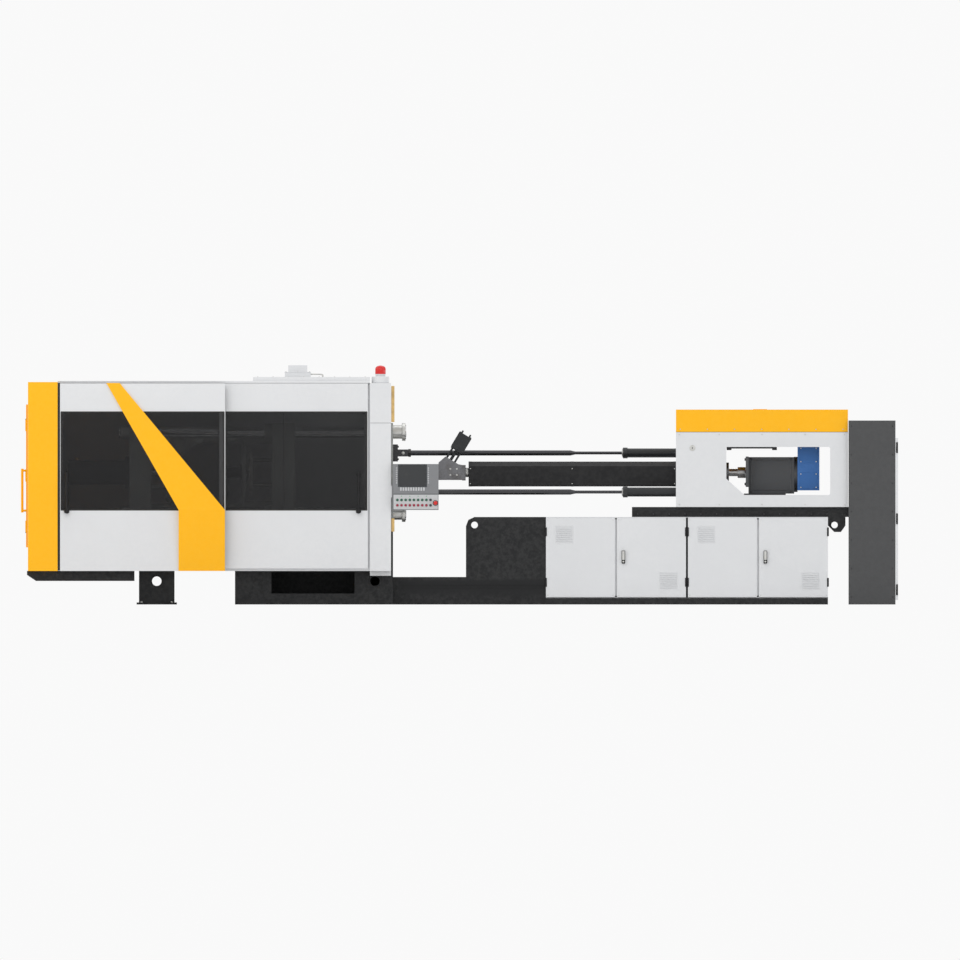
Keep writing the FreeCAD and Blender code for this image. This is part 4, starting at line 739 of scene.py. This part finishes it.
# housing, motor and gear unit
houseLow, houseHigh = size("injection_housing")
face = houseLow[1]
slab("guideBar", roundRect(0.024, 0.527, 0.002), 0.02, (4.0605, face + 0.0059, 1.649), "y", "black_metal",
     "carriage")
for k, x in enumerate((3.823, 4.3)):
    slab(f"guideLug{k}", roundRect(0.026, 0.05, 0.003), 0.018, (x, face + 0.0065, 1.634), "y", "black_metal",
         "carriage")
turned("housingLock", [(0, 0.031), (0.002, 0.031), (0.004, 0.028), (0.0035, 0.022), (0.0042, 0.02),
                       (0.0042, 0.008), (0.002, 0.006)], (3.438, face,
                       1.643), "-y", "zinc_steel", "carriage", 40)
# the keyhole is a thin dark strip on the lock: painted shade for the hole
slab("housingKeyhole", roundRect(0.006, 0.018, 0.0028), 0.0012, (3.438, face - 0.0038, 1.643), "-y", "rubber",
     "carriage", 0.0004)
for k, (y, direction) in enumerate(((face, "-y"), (houseHigh[1], "y"))):
    # the thin dark strip at the lid's lower edge is a painted shadow line for the gap between lid and housing
    shape = roundRect(1.802, 0.004, 0.0015) if k == 0 else roundRect(0.004, 1.802, 0.0015)
    slab(f"lidShadowLine{k}", shape, 0.0008, (4.168, y, 1.811), direction, "rubber", "carriage", 0.0003)
    places = [(x, y, z) for x in (3.3, 3.72, 4.168, 4.62, 5.035) for z in (1.05, 1.785)]
    scatter(f"housingScrews{k}", capScrew(0.006), places, direction, "zinc_steel", "carriage")
    places = [(x, y, 1.84) for x in np.linspace(3.31, 5.02, 7)]
    scatter(f"lidScrews{k}", capScrew(0.006), places, direction, "zinc_steel", "carriage")
slab("lidGrip", roundRect(0.147, 0.03, 0.01), 0.005, (4.1475, 0, houseHigh[2] + 0.2355), "z", "yellow_paint",
     "carriage")
motorX, gearX, plateFace = 4.2625, 4.6565, 3.9975
for k, x in enumerate((4.055, 4.47)):
    slab(f"motorBand{k}", roundRect(0.014, 0.372, 0.004), 0.004, (x, -0.185, 1.356), "-y", "motor_paint",
            "drive")
for k in (0, 8):
    slab(f"motorRib{k}", roundRect(0.37, 0.008, 0.003), 0.006, (motorX, -0.185, 1.2 + 0.039 * k), "-y",
         "motor_paint", "drive")
    slab(f"motorRibRear{k}", roundRect(0.008, 0.37, 0.003), 0.006, (motorX, 0.185, 1.2 + 0.039 * k), "y",
         "motor_paint", "drive")
scatter("plateScrews", hexHead(0.013), [(plateFace, y, z) for y in (-0.265, 0.265) for z in (1.265, 1.394,
        1.523)],
        "-x", "boltBlack", "drive")
scatter("motorCorners", capScrew(0.009), [(x, -0.1888, z) for x in (4.055, 4.47) for z in (1.185, 1.525)],
        "-y",
        "boltBlack", "drive")
for k, z in enumerate((1.3, 1.57)):
    slab(f"gearCover{k}", roundRect(0.19, 0.17, 0.012), 0.003, (gearX, -0.2, z), "-y", "blue_paint", "drive")
    places = [(gearX + a, -0.2028, z + b) for a in (-0.08, 0.08) for b in (-0.07, 0.07)]
    scatter(f"gearScrews{k}", capScrew(0.0065), places, "-y", "zinc_steel", "drive")
slab("gearCoverRear", roundRect(0.42, 0.19, 0.012), 0.003, (gearX, 0.2, 1.44), "y", "blue_paint", "drive")
turned("gearFiller", [(0, 0.02), (0.012, 0.02), (0.015, 0.014), (0.022, 0.013)], (4.6, 0.09, 1.685), "z",
       "brass", "drive", 6, angle=20)
print("drive dressed")

# base and bed
rims = (("legRim", -2.1865, 0.58, 0.245, 0.0505), ("bedRim", 0.104, 0.62, 0.245, 0.0505),
        ("cheekRim", 1.15, 0.47, 0.835, 0.0355), ("lugRim", 4.93, 0.37, 0.835, 0.0345))
for name, x, reach, z, bore in rims:
    ring = ringShape([(0, bore + 0.014), (0.002, bore + 0.014), (0.004, bore + 0.011), (0.004, bore + 0.0005),
                      (0, bore + 0.0005)], 48)
    for k, (direction, y) in enumerate((("-y", -reach), ("y", reach))):
        addPiece(f"{name}{k}", stand(ring[0], (x, y, z), direction), ring[1],
                 "bed_paint", "base")
places = [(x, side * 0.596, 0.022) for x in (-2.345, -2.03) for side in (-1, 1)]
scatter("footBolts", hexHead(0.012), places, "z", "zinc_steel", "base")
for k, side in enumerate((-1, 1)):
    slab(f"plinthSeam{k}", roundRect(0.004, 0.064, 0.0015) if k == 0 else roundRect(0.064, 0.004, 0.0015),
         0.0008, (cabinetSeam, side * 0.5, 0.034), "-y" if k == 0 else "y", "rubber", "base", 0.0003)
railLow, railHigh = size("injection_rails")
slab("railStrip", roundRect(railHigh[0] - railLow[0] - 0.01, 0.012, 0.004), 0.003,
     ((railLow[0] + railHigh[0]) / 2, railLow[1], 0.992), "-y", "cylinder_paint", "base")
places = [(x, railLow[1], 0.95) for x in np.linspace(railLow[0] + 0.06, railHigh[0] - 0.06, 14)]
scatter("railBolts", capScrew(0.01), places, "-y", "boltBlack", "base")
print("base dressed")

# floor, light and camera
floorMesh = bpy.data.meshes.new("studioFloor")
floorMesh.from_pydata([(-40, -40, -0.0005), (42, -40, -0.0005), (42, 40, -0.0005), (-40, 40, -0.0005)], [],
        [(0, 1, 2, 3)])
floorMat, tree, shader, place = newMaterial("studioFloor")
shade = noise(tree, place, 0.4, 3.0)
tone = tree.nodes.new("ShaderNodeMapRange")
tone.inputs["To Min"].default_value = 0.86
tone.inputs["To Max"].default_value = 0.9
link(tree, shade, tone.inputs["Value"])
link(tree, tone.outputs["Result"], shader.inputs["Base Color"])
shader.inputs["Roughness"].default_value = 0.6
floorMesh.materials.append(floorMat)
studioFloor = bpy.data.objects.new("studioFloor", floorMesh)
bpy.context.scene.collection.objects.link(studioFloor)

world = bpy.data.worlds.new("studio")
bpy.context.scene.world = world
world.use_nodes = True
background = world.node_tree.nodes["Background"]
background.inputs["Color"].default_value = (1.0, 1.0, 1.0, 1)
background.inputs["Strength"].default_value = 0.95


def lamp(name, at, target, energy, wide, tall, colour=(1, 1, 1)):
    data = bpy.data.lights.new(name, "AREA")
    data.shape, data.size, data.size_y = "RECTANGLE", wide, tall
    data.energy, data.color = energy, colour
    obj = bpy.data.objects.new(name, data)
    obj.location = at
    obj.rotation_euler = (Vector(target) - Vector(at)).to_track_quat("-Z", "Y").to_euler()
    bpy.context.scene.collection.objects.link(obj)


lamp("keyLight", (-4.5, -8.5, 7.5), (0.5, 0, 1.2), 190, 6, 4, (1, 0.985, 0.96))
lamp("fillLight", (8.0, -7.5, 4.5), (2.5, 0, 1.2), 40, 6, 4, (0.97, 0.985, 1))
lamp("topLight", (1.0, 1.0, 8.5), (1.0, 0, 1.0), 110, 10, 3)
lamp("insideLight", (4.3, 2.2, 2.6), (4.2, 0, 1.4), 20, 2, 1)

cameraData = bpy.data.cameras.new("sideView")
cameraData.type = "ORTHO"
cameraData.ortho_scale = 10.08
cameraData.clip_end = 100
camera = bpy.data.objects.new("sideView", cameraData)
camera.location = (1.2075, -20.0, 1.30725)
camera.rotation_euler = (math.pi / 2, 0, 0)
bpy.context.scene.collection.objects.link(camera)
bpy.context.scene.camera = camera
bpy.context.scene.view_settings.view_transform = "Standard"
